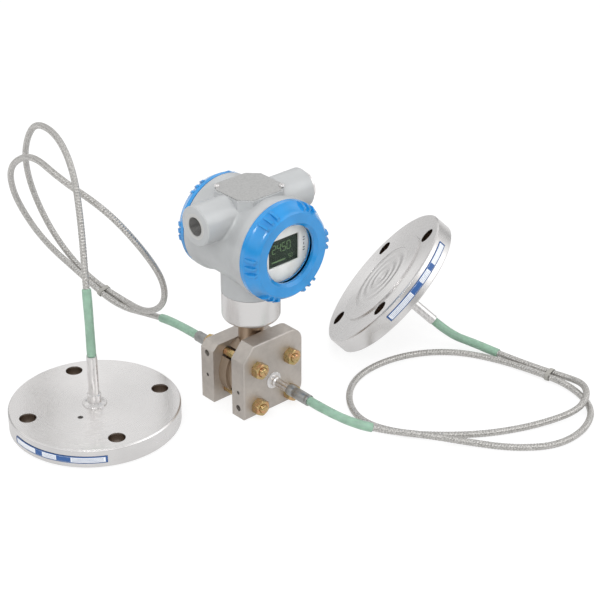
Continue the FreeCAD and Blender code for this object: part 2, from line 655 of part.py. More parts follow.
def seal(side):
    """One flanged seal: flange, diaphragm, neck pipe, fill plug and rim label."""
    place, turn = seal_frame(side)
    rim, raised, edge = "dims.flange_dia / 2", "dims.raised_dia / 2", "dims.rim_chamfer"
    top, step = "dims.flange_thick", "dims.raised_height"
    recess = "dims.membrane_dia / 2 + 0.1"
    flange = turned(side + "_seal_flange", [
        ("0", "dims.membrane_recess"), (recess, "dims.membrane_recess"), (recess, "0"), (raised, "0"),
        (raised, step), ("%s - %s" % (rim, edge), step), (rim, "%s + %s" % (step, edge)),
        (rim, "%s - %s" % (top, edge)), ("%s - %s" % (rim, edge), top), ("0", top)])
    hole = circle(sketch_on(flange, "XY_Plane"), "dims.bolt_hole / 2", "dims.bolt_circle / 2", "0")
    around(flange, [pocket(flange, hole, top, reverse=True)], 4)
    port_x = "dims.fill_port_radius * cos(dims.fill_port_angle)"
    port_y = "dims.fill_port_radius * sin(dims.fill_port_angle)"
    port = circle(sketch_on(flange, "XY_Plane", top), "dims.fill_port_dia / 2", port_x, port_y)
    pocket(flange, port, "dims.fill_port_deep")
    stand(flange, *place, turn=turn)

    membrane = turned(side + "_seal_diaphragm", membrane_outline())
    stand(membrane, *place, turn=turn)

    weld, collar, pipe = "dims.seal_weld_dia / 2", "dims.seal_collar_dia / 2", "dims.pipe_dia / 2"
    neck = turned(side + "_seal_neck", [
        ("0", top), (weld, top), (weld, top + " + 1"), (collar, top + " + 3"),
        (collar, top + " + dims.seal_collar_height - 1"), (pipe, top + " + dims.seal_collar_height"),
        (pipe, top + " + dims.seal_pipe_height"), ("0", top + " + dims.seal_pipe_height")])
    stand(neck, *place, turn=turn)

    plug = new_body(side + "_seal_plug")
    pad(plug, circle(sketch_on(plug, "XY_Plane", top + " - dims.fill_port_deep"),
                     "dims.fill_port_dia / 2 - 0.05", port_x, port_y), "dims.fill_port_deep - 1.5")
    stand(plug, *place, turn=turn)

    label = new_body(side + "_seal_label")
    foot, head = ["(%s %s dims.label_height) / 2" % (top, sign) for sign in "-+"]
    film = box_corners(rim + " + 0.03", rim + " + 0.33", foot, head)
    sketch = polygon(sketch_on(label, "XZ_Plane"), film)
    arc = revolve(label, sketch)
    arc.setExpression("Angle", "dims.label_sweep")
    arc.Midplane = True
    sweep = Rotation(Vector(0, 0, 1), value("dims.%s_label_angle" % side))
    stand(label, *place, turn=turn.multiply(sweep))


def membrane_outline():
    """A thin disc with three shallow ring waves; its two sides follow each other."""
    radii = [8, 14, 20, 26, 32, 38]
    lower = [("0", "0.5")]
    upper = [("0", "dims.membrane_recess")]
    for index, radius in enumerate(radii):
        rise = "0.2" if index % 2 == 0 else "0.8"
        lower.append(("%d" % radius, rise))
    lower.append(("dims.membrane_dia / 2", "0.3"))
    upper.insert(0, ("dims.membrane_dia / 2", "dims.membrane_recess"))
    return lower + upper


# ---------------------------------------------------------------- capillaries

# Points of each armoured hose, from the transmitter's pipe to the seal's pipe, as distances from
# the transmitter's upright axis.  The first and last runs are straight on from the pipes.
LOW_ROUTE = [
    (0, 141, 36), (-1, 185, 28), (-9, 245, 19), (-18, 303, 42), (-43, 344, 82), (-70, 351, 138),
    (-96, 324, 189), (-115, 283, 230), (-123, 228, 260), (-128, 166, 251), (-105, 114, 224),
    (-75, 92, 174), (-43, 100, 121), (-22, 130, 71), (-11, 180, 36), (0, 240, 24), (-10, 300, 36),
    (-26, 342, 80), (-43, 357, 138), (-62, 342, 195), (-79, 306, 243), (-94, 259, 281),
    (-107, 198, 288), (-126, 143, 269), (-146, 106, 226), (-160, 84, 172)]
HIGH_ROUTE = [
    (0, -131, 36), (12, -163, 31), (38, -186, 23), (72, -206, 13), (106, -237, 4), (133, -277, 4),
    (172, -306, 4), (220, -306, 4), (262, -282, 4), (277, -234, 6), (270, -186, 6), (261, -139, 4),
    (240, -95, 4), (202, -64, 4), (154, -51, 4), (105, -57, 4), (66, -87, 4), (47, -131, 4),
    (64, -176, 4), (97, -211, 4), (135, -240, 4), (182, -262, 4), (232, -280, 9), (260, -274, 14),
    (280, -254, 14), (286, -226, 8), (279.5, -193, 6), (268, -132, 7), (262, -98, 9)]


# Where each hose's tie lies, as distances from the transmitter's upright axis.
TIE_AT = {"low": (-8, 270, 29), "high": (275, -205, 4)}


def hose_path(points):
    """Straight runs joined by tangent arcs, each as large as its two runs allow."""
    runs = [(b - a).Length for a, b in zip(points, points[1:])]
    edges = []
    radii = []
    start = points[0]
    for index in range(1, len(points) - 1):
        before = (points[index] - points[index - 1]).normalize()
        after = (points[index + 1] - points[index]).normalize()
        half_turn = before.getAngle(after) / 2
        if half_turn < 1e-4:
            raise RuntimeError("three points of a route in line at %s" % points[index])
        reach = 0.45 * min(runs[index - 1], runs[index])
        radii.append(reach / math.tan(half_turn))
        enter = points[index] - before * reach
        leave = points[index] + after * reach
        inward = (after - before).normalize()
        middle = points[index] + inward * (radii[-1] / math.cos(half_turn) - radii[-1])
        edges.append(Part.LineSegment(start, enter).toShape())
        edges.append(Part.Arc(enter, middle, leave).toShape())
        start = leave
    edges.append(Part.LineSegment(start, points[-1]).toShape())
    return edges, radii


def tube(edges, radius, bore=0.0):
    """A round section carried along joined edges, hollow where a bore is given."""
    path = Part.Wire(edges)
    start = edges[0].firstVertex().Point
    heading = (edges[0].lastVertex().Point - start).normalize()

    def swept(size):
        section = Part.Wire([Part.Circle(start, heading, size).toShape()])
        return path.makePipeShell([section], True, False, 2)

    solid = swept(radius)
    return solid.cut(swept(bore)) if bore else solid


def whole_route(side):
    """The route's points in the part's frame, with its two ends on the pipes' ends."""
    axis = Vector(value("dims.stand_x"), value("dims.stand_y"), 0)
    reach = value("dims.cell_thick / 2 + dims.head_thick + dims.head_pipe_length")
    way = 1 if side == "low" else -1
    first = axis + Vector(0, way * reach, value("dims.head_height / 2"))
    route = LOW_ROUTE if side == "low" else HIGH_ROUTE
    top = "dims.flange_thick + dims.seal_pipe_height"
    last = seal_point(side, top)
    before_last = seal_point(side, top + (" + 44" if side == "low" else " + 28"))
    return [first] + [axis + Vector(*point) for point in route] + [before_last, last]


def solid_piece(label, shape):
    piece = doc.addObject("Part::Feature", label)
    piece.Shape = shape
    piece.Placement = Placement()
    return keep(piece, label)


def strand_near(edges, place):
    """The nearest point of a stretch of the route to a place, and the route's heading there."""
    spot = Part.Vertex(place)
    edge = min(edges, key=lambda candidate: spot.distToShape(candidate)[0])
    point = spot.distToShape(edge)[1][0][1]
    return point, edge.tangentAt(edge.Curve.parameter(point)).normalize()


def tie(side, edges):
    """A flat band round two strands of a hose, one from each half of its route."""
    axis = Vector(value("dims.stand_x"), value("dims.stand_y"), 0)
    place = axis + Vector(*TIE_AT[side])
    half = len(edges) // 2
    one, heading = strand_near(edges[:half], place)
    other, _ = strand_near(edges[half:], place)
    across = other - one
    along = (heading - across * (heading.dot(across) / across.Length ** 2)).normalize()
    width = value("dims.tie_width")
    inner = value("dims.hose_dia / 2 + dims.tie_gap")

    def stadium(radius):
        foot = one - along * (width / 2)
        block = Part.makeCylinder(radius, width, foot, along)
        block = block.fuse(Part.makeCylinder(radius, width, foot + across, along))
        side_way = along.cross(across).normalize() * radius
        corners = [foot + side_way, foot + across + side_way, foot + across - side_way, foot - side_way]
        face = Part.Face(Part.makePolygon(corners + corners[:1]))
        return block.fuse(face.extrude(along * width)).removeSplitter()

    band = stadium(inner + value("dims.tie_thick")).cut(stadium(inner))
    solid_piece(side + "_tie", band)


def capillary(side):
    """An armoured hose with a green sleeve over each end."""
    edges, radii = hose_path(whole_route(side))
    radius = value("dims.hose_dia / 2")
    outer = value("dims.sleeve_dia / 2")
    bore = radius + value("dims.turning_gap / 2")
    length = sum(edge.Length for edge in edges)
    hose = tube(edges, radius)
    print("%s hose: length %.0f, radii %s" % (side, length, [round(r) for r in radii]))
    print("  volume over section x length: %.4f" % (hose.Volume / (math.pi * radius ** 2 * length)))
    solid_piece(side + "_hose", hose)
    head_runs, seal_runs = (3, 3) if side == "low" else (4, 5)
    solid_piece(side + "_head_sleeve", tube(edges[:head_runs], outer, bore))
    solid_piece(side + "_seal_sleeve", tube(edges[-seal_runs:], outer, bore))
    tie(side, edges)


# ---------------------------------------------------------------- build, check and write

measuring_cell()
process_head("front_process_head", True)
process_head("rear_process_head", False)
head_fasteners()
head_gaskets()
vent_screws()
head_pipe("front_head_pipe", -1, FACING_FRONT)
head_pipe("rear_head_pipe", 1, FACING_REAR)
neck_collar()
housing_casting()
name_plate()
conduit_plug()
front_cover()
rear_cover()
sealing_ring("front_cover_seal", "front_bore", "front_face", FACING_FRONT)
sealing_ring("rear_cover_seal", "rear_bore", "rear_face", FACING_REAR)
display()
terminals()
seal("low")
seal("high")
doc.recompute()
capillary("low")
capillary("high")
doc.recompute()

broken = [item.Name for item in doc.Objects if {"Invalid", "Error"} & set(item.State)]
if broken:
    raise RuntimeError("failed objects: " + ", ".join(broken))
for piece in PARTS:
    if piece.Shape.isNull() or not piece.Shape.isValid():
        raise RuntimeError("bad shape: " + piece.Label)

os.makedirs("parts", exist_ok=True)
for piece in PARTS:
    piece.Shape.exportStep("parts/%s.step" % piece.Label)
    print("%-22s %9.0f mm3, %d solid(s)" % (piece.Label, piece.Shape.Volume, len(piece.Shape.Solids)))
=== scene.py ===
"""Finishes for a differential pressure transmitter with two remote diaphragm seals.

Laid out as an add-on and run as a script.  Metres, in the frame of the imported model: +Z is up and
the display looks along -Y.  New pieces are surfaces worked out with numpy, a shape being a
function of two parameters on a grid; each function says its formula in words.
"""
import math

import bmesh
import bpy
import numpy as np
from bpy.props import FloatProperty, FloatVectorProperty, PointerProperty
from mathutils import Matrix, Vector


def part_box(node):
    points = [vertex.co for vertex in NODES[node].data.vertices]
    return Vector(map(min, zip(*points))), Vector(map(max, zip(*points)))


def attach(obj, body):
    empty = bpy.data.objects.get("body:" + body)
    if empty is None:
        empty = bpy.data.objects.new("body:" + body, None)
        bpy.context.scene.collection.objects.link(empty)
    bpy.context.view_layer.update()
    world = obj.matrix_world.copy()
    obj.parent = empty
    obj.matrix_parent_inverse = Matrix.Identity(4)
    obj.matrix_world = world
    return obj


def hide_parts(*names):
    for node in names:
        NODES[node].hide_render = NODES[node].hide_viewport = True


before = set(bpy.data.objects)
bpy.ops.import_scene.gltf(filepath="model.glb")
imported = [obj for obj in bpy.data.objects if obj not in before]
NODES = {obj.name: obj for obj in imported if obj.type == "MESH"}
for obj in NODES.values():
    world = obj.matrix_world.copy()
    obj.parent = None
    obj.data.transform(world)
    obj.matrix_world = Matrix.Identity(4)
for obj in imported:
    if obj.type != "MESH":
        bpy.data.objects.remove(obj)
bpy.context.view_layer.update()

bl_info = {
    "name": "Pressure transmitter finishes",
    "version": (1, 0, 0),
    "blender": (4, 5, 0),
    "location": "3D View > Sidebar > Transmitter",
    "description": "Paint, steel, capillaries and display of a remote seal pressure transmitter",
    "category": "Object",
}

# ---------------------------------------------------------------- places taken from the frame


def middle(node):
    """The centre of a CAD node's box at rest."""
    low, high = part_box(node)
    return (np.array(low) + np.array(high)) / 2


STAND = np.array([middle("neck_collar")[0], middle("neck_collar")[1], 0.0])
HEAD_MIDDLE = (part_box("front_process_head")[0][2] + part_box("rear_process_head")[1][2]) / 2
BARREL_HEIGHT = middle("display_bezel")[2]
COLLAR_BOTTOM = 0.1018
FRONT_HEAD_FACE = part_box("front_process_head")[0][1]
REAR_HEAD_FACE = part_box("rear_process_head")[1][1]
LOW_SEAL = np.array([*middle("low_seal_flange")[:2], 0.0])
HIGH_LEAN = math.radians(48.4)
HIGH_BEARING = math.radians(133.4)

# Directions of the leaning seal: its process face looks along HIGH_OUT, and HIGH_ACROSS lies level.
HIGH_OUT = np.array([
    math.sin(HIGH_LEAN) * math.cos(HIGH_BEARING),
    math.sin(HIGH_LEAN) * math.sin(HIGH_BEARING),
    math.cos(HIGH_LEAN)])
HIGH_ACROSS = np.array([-math.sin(HIGH_BEARING), math.cos(HIGH_BEARING), 0.0])
HIGH_SEAL = middle("high_seal_diaphragm")
PIPE_END = 0.0839
FLANGE_THICK = 0.0239
LABEL_RADIUS = 0.0957
LABEL_SPAN = math.radians(70)
LABEL_HALF_HEIGHT = 0.004
NECK_RADIUS = 0.0122
LOW_LENGTH = 1.643
HIGH_LENGTH = 1.332

# How far a capillary runs straight before it reaches each seal's pipe.
LOW_LEAD = 0.044
HIGH_LEAD = 0.028

# Control points of the two capillaries, from the transmitter's upright axis, head end first.
LOW_ROUTE = [
    (0, 0.141, 0.036), (-0.001, 0.185, 0.028), (-0.009, 0.245, 0.019), (-0.018, 0.303, 0.042),
    (-0.043, 0.344, 0.082), (-0.07, 0.351, 0.138), (-0.096, 0.324, 0.189), (-0.115, 0.283, 0.23),
    (-0.123, 0.228, 0.26), (-0.128, 0.166, 0.251), (-0.105, 0.114, 0.224), (-0.075, 0.092, 0.174),
    (-0.043, 0.1, 0.121), (-0.022, 0.13, 0.071), (-0.011, 0.18, 0.036), (0, 0.24, 0.024),
    (-0.01, 0.3, 0.036), (-0.026, 0.342, 0.08), (-0.043, 0.357, 0.138), (-0.062, 0.342, 0.195),
    (-0.079, 0.306, 0.243), (-0.094, 0.259, 0.281), (-0.107, 0.198, 0.288), (-0.126, 0.143, 0.269),
    (-0.146, 0.106, 0.226), (-0.16, 0.084, 0.172)]
HIGH_ROUTE = [
    (0, -0.131, 0.036), (0.012, -0.163, 0.031), (0.038, -0.186, 0.023), (0.072, -0.206, 0.013),
    (0.106, -0.237, 0.004), (0.133, -0.277, 0.004), (0.172, -0.306, 0.004), (0.22, -0.306, 0.004),
    (0.262, -0.282, 0.004), (0.277, -0.234, 0.006), (0.27, -0.186, 0.006), (0.261, -0.139, 0.004),
    (0.24, -0.095, 0.004), (0.202, -0.064, 0.004), (0.154, -0.051, 0.004), (0.105, -0.057, 0.004),
    (0.066, -0.087, 0.004), (0.047, -0.131, 0.004), (0.064, -0.176, 0.004), (0.097, -0.211, 0.004),
    (0.135, -0.24, 0.004), (0.182, -0.262, 0.004), (0.232, -0.28, 0.009), (0.26, -0.274, 0.014),
    (0.28, -0.254, 0.014), (0.286, -0.226, 0.008), (0.2795, -0.193, 0.006), (0.268, -0.132, 0.007),
    (0.262, -0.098, 0.009)]


def from_screen(red, green, blue):
    """Linear light for a colour given as screen values from 0 to 255."""
    share = np.array([red, green, blue]) / 255
    linear = np.where(share <= 0.04045, share / 12.92, ((share + 0.055) / 1.055) ** 2.4)
    return tuple(float(part) for part in linear)


# ---------------------------------------------------------------- what a user may change

class CapillarySizes(bpy.types.PropertyGroup):
    """Sizes of the armoured capillaries and what is on them."""
    hose_diameter: FloatProperty(
        name="Hose diameter", description="Outside diameter of the armour", default=0.0076, unit="LENGTH")
    armour_pitch: FloatProperty(
        name="Armour pitch", description="Distance between turns of the strip", default=0.0034,
        unit="LENGTH")
    armour_groove: FloatProperty(
        name="Armour groove", description="Depth between turns of the strip", default=0.0005,
        unit="LENGTH")
    sleeve_diameter: FloatProperty(
        name="Sleeve diameter", description="Outside diameter of the end sleeves", default=0.0104,
        unit="LENGTH")


class Colours(bpy.types.PropertyGroup):
    """Colours of the paints, films and mouldings."""
    casting: FloatVectorProperty(
        name="Casting", description="Paint of the housing", subtype="COLOR", size=3,
        default=from_screen(190, 192, 193))
    covers: FloatVectorProperty(
        name="Covers", description="Paint of the two screwed covers", subtype="COLOR", size=3,
        default=from_screen(24, 143, 214))
    sleeves: FloatVectorProperty(
        name="Sleeves", description="Tubing over the capillaries' ends", subtype="COLOR", size=3,
        default=from_screen(150, 184, 163))
    blasted: FloatVectorProperty(
        name="Blasted steel", description="Process heads and cell", subtype="COLOR", size=3,
        default=from_screen(202, 195, 188))
    turned: FloatVectorProperty(
        name="Turned steel", description="Flanges, collar and pipes", subtype="COLOR", size=3,
        default=from_screen(240, 238, 237))
    zinc: FloatVectorProperty(
        name="Yellow zinc", description="Studs and nuts", subtype="COLOR", size=3,
        default=from_screen(206, 178, 128))
    print_blue: FloatVectorProperty(
        name="Label blue", description="Lines and fields of the seal labels", subtype="COLOR", size=3,
        default=from_screen(52, 96, 158))


# ---------------------------------------------------------------- surfaces on grids

def surface(name, grids, material, body, crease=35, merge=True):
    """One mesh from grids of points (rows, columns, 3), each joined along rows and columns."""
    points = []
    faces = []
    start = 0
    for grid in grids:
        rows, columns = grid.shape[:2]
        index = np.arange(rows * columns).reshape(rows, columns) + start
        quads = np.stack([index[:-1, :-1], index[1:, :-1], index[1:, 1:], index[:-1, 1:]], axis=-1)
        points.append(grid.reshape(-1, 3))
        faces.append(quads.reshape(-1, 4))
        start += rows * columns
    mesh = bpy.data.meshes.new(name)
    mesh.from_pydata(np.concatenate(points).tolist(), [], np.concatenate(faces).tolist())
    if merge:
        work = bmesh.new()
        work.from_mesh(mesh)
        bmesh.ops.remove_doubles(work, verts=work.verts, dist=1e-7)
        bmesh.ops.dissolve_degenerate(work, edges=work.edges, dist=1e-8)
        bmesh.ops.recalc_face_normals(work, faces=work.faces)
        work.to_mesh(mesh)
        work.free()
    mesh.polygons.foreach_set("use_smooth", np.ones(len(mesh.polygons), dtype=bool))
    mesh.set_sharp_from_angle(angle=math.radians(crease))
    piece = bpy.data.objects.new(name, mesh)
    bpy.context.scene.collection.objects.link(piece)
    mesh.materials.append(material)
    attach(piece, body)
    return piece


def thicken(piece, thickness):
    """Give a flat piece the thickness of a film, behind its face."""
    wall = piece.modifiers.new("film", "SOLIDIFY")
    wall.thickness = thickness
    wall.offset = -1


def placed(grid, origin, right, up, out):
    """A grid given along right, up and out, carried to its place."""
    axes = np.array([right, up, out], dtype=float)
    return np.array(origin) + grid @ axes


def lathe(profile, steps=64):
    """A profile of (radius, height) turned once about the height axis: each ring is its radius
    times (cosine, sine) of the turn, at its height."""
    radius, height = np.array(profile, dtype=float).T
    turn = np.linspace(0, 2 * math.pi, steps + 1)
    ring = np.stack([np.cos(turn), np.sin(turn)], axis=-1)
    grid = np.empty((len(radius), steps + 1, 3))
    grid[..., :2] = radius[:, None, None] * ring[None]
    grid[..., 2] = height[:, None]
    grid[:, -1] = grid[:, 0]
    return grid


def hexagon_nut(flats, height, bore, steps=48):
    """A nut: the radius is the hexagon's, which is half the flats over the cosine of the angle to
    the nearest flat, or the chamfer cone's where that is smaller."""
    turn = np.linspace(0, 2 * math.pi, steps + 1)
    off_flat = (turn + math.pi / 6) % (math.pi / 3) - math.pi / 6
    hexagon = flats / 2 / np.cos(off_flat)
    drop = np.array([0.9, 0.65, 0.45, 0.3, 0.18, 0.08, 0.0]) * flats / 17
    cone = flats / 2 * 0.99 + drop * 1.75
    shell = np.minimum(hexagon[None, :], cone[:, None])
    radius = np.concatenate([
        np.full((1, steps + 1), bore), np.minimum(hexagon, flats / 2 * 1.04)[None, :],
        np.minimum(hexagon, flats / 2 * 1.15)[None, :], shell,
        np.full((1, steps + 1), bore * 1.12), np.full((1, steps + 1), bore), np.full((1, steps + 1), bore)])
    level = np.concatenate([[0, 0, 0.0004], height - drop, [height, height - bore * 0.12, 0]])
    grid = np.empty((len(level), steps + 1, 3))
    grid[..., 0] = radius * np.cos(turn)
    grid[..., 1] = radius * np.sin(turn)
    grid[..., 2] = level[:, None]
    grid[:, -1] = grid[:, 0]
    return grid


def threads(radius, start, stop, pitch, depth, inward=False):
    """Profile of a threaded length: the radius falls by a triangle wave of the depth each pitch."""
    count = max(2, int(round(abs(stop - start) / pitch * 2)) + 1)
    height = np.linspace(start, stop, count)
    wave = np.where(np.arange(count) % 2 == 0, 0.0, depth)
    return np.stack([radius + (wave if inward else -wave), height], axis=-1).tolist()


# ---------------------------------------------------------------- lines that the hoses follow

def smooth_line(name, points):
    """The NURBS line of order three through a route's ends, read as points of a curve without
    thickness."""
    curve = bpy.data.curves.new(name, "CURVE")
    curve.dimensions = "3D"
    curve.resolution_u = 24
    spline = curve.splines.new("NURBS")
    spline.points.add(len(points) - 1)
    rows = np.concatenate([points, np.ones((len(points), 1))], axis=1)
    spline.points.foreach_set("co", rows.ravel())
    spline.order_u = 3
    spline.use_endpoint_u = True
    holder = bpy.data.objects.new(name, curve)
    bpy.context.scene.collection.objects.link(holder)
    read = holder.evaluated_get(bpy.context.evaluated_depsgraph_get())
    mesh = bpy.data.meshes.new_from_object(read)
    line = np.empty(len(mesh.vertices) * 3)
    mesh.vertices.foreach_get("co", line)
    bpy.data.meshes.remove(mesh)
    bpy.data.objects.remove(holder)
    return line.reshape(-1, 3)


def stations(line):
    """Distance along a line at each of its points."""
    return np.concatenate([[0], np.cumsum(np.linalg.norm(np.diff(line, axis=0), axis=1))])


def point_at(line, distance):
    """Points of a line at distances along it, held at its two ends."""
    along = stations(line)
    return np.stack([np.interp(distance, along, line[:, axis]) for axis in range(3)], axis=-1)


def heading_at(line, distance):
    """Unit direction of a line at distances along it."""
    step = 0.0015
    length = stations(line)[-1]
    ahead = point_at(line, np.minimum(np.asarray(distance) + step, length))
    behind = point_at(line, np.maximum(np.asarray(distance) - step, 0))
    way = ahead - behind
    return way / np.linalg.norm(way, axis=-1, keepdims=True)


def loop_axis(line):
    """Unit direction square to a looping line: the sum of the cross products of neighbouring
    points about their middle."""
    arms = line - line.mean(axis=0)
    area = np.cross(arms[:-1], arms[1:]).sum(axis=0)
    return area / np.linalg.norm(area)


def tube_on(line, distance, radius, steps, slide=0.0):
    """A tube about a line: each ring is centred at its distance along the line and lies square to
    the heading there; slide moves a ring's points along the line once per turn, as a helix."""
    upright = loop_axis(line)
    turn = np.linspace(0, 2 * math.pi, steps + 1)
    spot = np.asarray(distance)[:, None] + slide * (turn / (2 * math.pi))[None, :]
    length = stations(line)[-1]
    spot = np.clip(spot, 0, length)
    centre = point_at(line, spot)
    heading = heading_at(line, spot)
    side = np.cross(heading, upright)
    side /= np.linalg.norm(side, axis=-1, keepdims=True)
    lift = np.cross(side, heading)
    reach = np.broadcast_to(np.asarray(radius)[:, None, None], centre.shape[:2] + (1,))
    grid = centre + reach * (np.cos(turn)[None, :, None] * side + np.sin(turn)[None, :, None] * lift)
    if slide == 0:
        grid[:, -1] = grid[:, 0]
    return grid


# ---------------------------------------------------------------- nodes for the finishes

class Finish:
    """A material under construction: its node tree and its Principled shader."""

    def __init__(self, name, colour, metallic=0.0, roughness=0.5):
        """Make a material of one colour, metal share and roughness."""
        self.material = bpy.data.materials.new(name)
        self.material.use_nodes = True
        self.tree = self.material.node_tree
        self.shader = self.tree.nodes["Principled BSDF"]
        self.shader.inputs["Base Color"].default_value = (*colour, 1.0)
        self.shader.inputs["Metallic"].default_value = metallic
        self.shader.inputs["Roughness"].default_value = roughness

    @classmethod
    def of(cls, material):
        """Take up again a material that is already made."""
        finish = cls.__new__(cls)
        finish.material = material
        finish.tree = material.node_tree
        finish.shader = finish.tree.nodes["Principled BSDF"]
        return finish

    def node(self, kind, **settings):
        """A new node of a kind, with its settings."""
        made = self.tree.nodes.new(kind)
        for key, value in settings.items():
            setattr(made, key, value)
        return made

    def feed(self, node, socket, source):
        """Set a socket to a number, or link another node's output to it."""
        if isinstance(source, bpy.types.NodeSocket):
            self.tree.links.new(source, node.inputs[socket])
        else:
            node.inputs[socket].default_value = source

    def math(self, operation, first, second=0.0):
        """The result of one operation on two numbers or outputs."""
        made = self.node("ShaderNodeMath", operation=operation)
        self.feed(made, 0, first)
        self.feed(made, 1, second)
        return made.outputs[0]

    def place(self, location=(0, 0, 0), rotation=(0, 0, 0), scale=(1, 1, 1)):
        """Object coordinates brought to a piece's own middle and axes."""
        source = self.node("ShaderNodeTexCoord").outputs["Object"]
        moved = self.node("ShaderNodeVectorMath", operation="SUBTRACT")
        self.feed(moved, 0, source)
        self.feed(moved, 1, tuple(location))
        turned = self.node("ShaderNodeMapping", vector_type="POINT")
        self.feed(turned, "Vector", moved.outputs[0])
        self.feed(turned, "Rotation", tuple(rotation))
        self.feed(turned, "Scale", tuple(scale))
        return turned.outputs[0]

    def noise(self, vector, scale, detail=3.0, roughness=0.55):
        """Noise from nothing to one over a vector."""
        made = self.node("ShaderNodeTexNoise")
        self.feed(made, "Vector", vector)
        self.feed(made, "Scale", scale)
        self.feed(made, "Detail", detail)
        self.feed(made, "Roughness", roughness)
        return made.outputs["Fac"]

    def ramp(self, value, *stops):
        """Colours or greys along a value; a stop is (position, grey or colour)."""
        made = self.node("ShaderNodeValToRGB")
        elements = made.color_ramp.elements
        while len(elements) < len(stops):
            elements.new(0.5)
        for element, (position, colour) in zip(elements, stops):
            element.position = position
            grey = isinstance(colour, (int, float))
            element.color = (colour, colour, colour, 1) if grey else (*colour, 1)
        self.feed(made, "Fac", value)
        return made.outputs["Color"]

    def mix(self, share, first, second):
        """A colour that goes from the first to the second as the share goes to one."""
        made = self.node("ShaderNodeMix", data_type="RGBA")
        self.feed(made, "Factor", share)
        for socket, colour in ((6, first), (7, second)):
            self.feed(made, socket, colour if isinstance(colour, bpy.types.NodeSocket) else (*colour, 1))
        return made.outputs[2]

    def tint(self, value, dark, light):
        """Base colour between two shades as a value goes from a third to two thirds."""
        self.feed(self.shader, "Base Color", self.ramp(value, (0.33, dark), (0.67, light)))

    def rough(self, value, low, high):
        """Roughness between two levels as a value goes from a third to two thirds."""
        self.feed(self.shader, "Roughness", self.ramp(value, (0.33, low), (0.67, high)))

    def relief(self, height, distance, strength=1.0, edge=0.0):
        """Bump from a height; edge rounds the corners of the shape by that radius first."""
        made = self.node("ShaderNodeBump")
        self.feed(made, "Height", height)
        self.feed(made, "Distance", distance)
        self.feed(made, "Strength", strength)
        if edge:
            rounded = self.node("ShaderNodeBevel", samples=4)
            self.feed(rounded, "Radius", edge)
            self.feed(made, "Normal", rounded.outputs[0])
        self.feed(self.shader, "Normal", made.outputs[0])

    def radius(self, vector):
        """Distance from the axis that a placed vector has as its third."""
        parts = self.node("ShaderNodeSeparateXYZ")
        self.feed(parts, 0, vector)
        flat = self.node("ShaderNodeCombineXYZ")
        self.feed(flat, 0, parts.outputs[0])
        self.feed(flat, 1, parts.outputs[1])
        length = self.node("ShaderNodeVectorMath", operation="LENGTH")
        self.feed(length, 0, flat.outputs[0])
        return length.outputs["Value"]

    def round_grain(self, origin, axis, amount):
        """Stretch the gloss across turning marks: the tangent is the axis crossed with the arm."""
        source = self.node("ShaderNodeTexCoord").outputs["Object"]
        arm = self.node("ShaderNodeVectorMath", operation="SUBTRACT")
        self.feed(arm, 0, source)
        self.feed(arm, 1, tuple(origin))
        turned = self.node("ShaderNodeVectorMath", operation="CROSS_PRODUCT")
        self.feed(turned, 0, tuple(axis))
        self.feed(turned, 1, arm.outputs[0])
        self.feed(self.shader, "Tangent", turned.outputs[0])
        self.feed(self.shader, "Anisotropic", amount)

    def rings(self, distance, scale):
        """Turning marks: noise along a distance from an axis."""
        line = self.node("ShaderNodeCombineXYZ")
        self.feed(line, 0, distance)
        return self.noise(line.outputs[0], scale, 2.0)

    def band(self, value, low, high):
        """One between two limits of a value, else nothing."""
        above = self.math("GREATER_THAN", value, low)
        below = self.math("LESS_THAN", value, high)
        return self.math("MULTIPLY", above, below)


def shade(colour, factor):
    """A colour made darker or lighter, and no more than full."""
    return tuple(min(1.0, part * factor) for part in colour)


def colours():
    """The colours that a user may change."""
    return bpy.context.scene.transmitter_colours


def sizes():
    """The capillary sizes that a user may change."""
    return bpy.context.scene.capillary_sizes


def casting_paint():
    """Baked powder paint on a casting: satin and slightly uneven, with fine orange peel."""
    base = colours().casting
    finish = Finish("casting_paint", base, metallic=0.2, roughness=0.42)
    here = finish.place()
    finish.tint(finish.noise(here, 22, 4), shade(base, 0.93), shade(base, 1.04))
    finish.rough(finish.noise(here, 160), 0.3, 0.42)
    finish.relief(finish.noise(here, 900, 2), 0.00012, 0.5, edge=0.0008)
    bare_ring(finish)
    return finish.material


def bare_ring(finish):
    """Bare metal where the conduit entry's mouth is spot-faced: a ring on the hub's end."""
    mouth = (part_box("housing")[0][0], STAND[1], middle("conduit_plug")[2])
    here = finish.place(tuple(float(part) for part in mouth), (0, -math.pi / 2, 0))
    parts = finish.node("ShaderNodeSeparateXYZ")
    finish.feed(parts, 0, here)
    ring = finish.band(finish.radius(here), 0.0, 0.0145)
    ring = finish.math("MULTIPLY", ring, finish.band(parts.outputs[2], -0.01, 0.0012))
    painted = finish.shader.inputs["Base Color"].links[0].from_socket
    finish.feed(finish.shader, "Base Color", finish.mix(ring, painted, from_screen(208, 208, 206)))
    finish.feed(finish.shader, "Metallic", finish.ramp(ring, (0.0, 0.2), (1.0, 0.9)))


def cover_paint():
    """Gloss enamel under a clear coat, with orange peel and softened edges."""
    base = colours().covers
    finish = Finish("cover_enamel", base, roughness=0.2)
    here = finish.place()
    finish.tint(finish.noise(here, 30, 3), shade(base, 0.9), shade(base, 1.12))
    finish.rough(finish.noise(here, 120), 0.14, 0.26)
    finish.relief(finish.noise(here, 420, 2), 0.00015, 0.5, edge=0.0009)
    finish.shader.inputs["Coat Weight"].default_value = 0.6
    finish.shader.inputs["Coat Roughness"].default_value = 0.08
    return finish.material


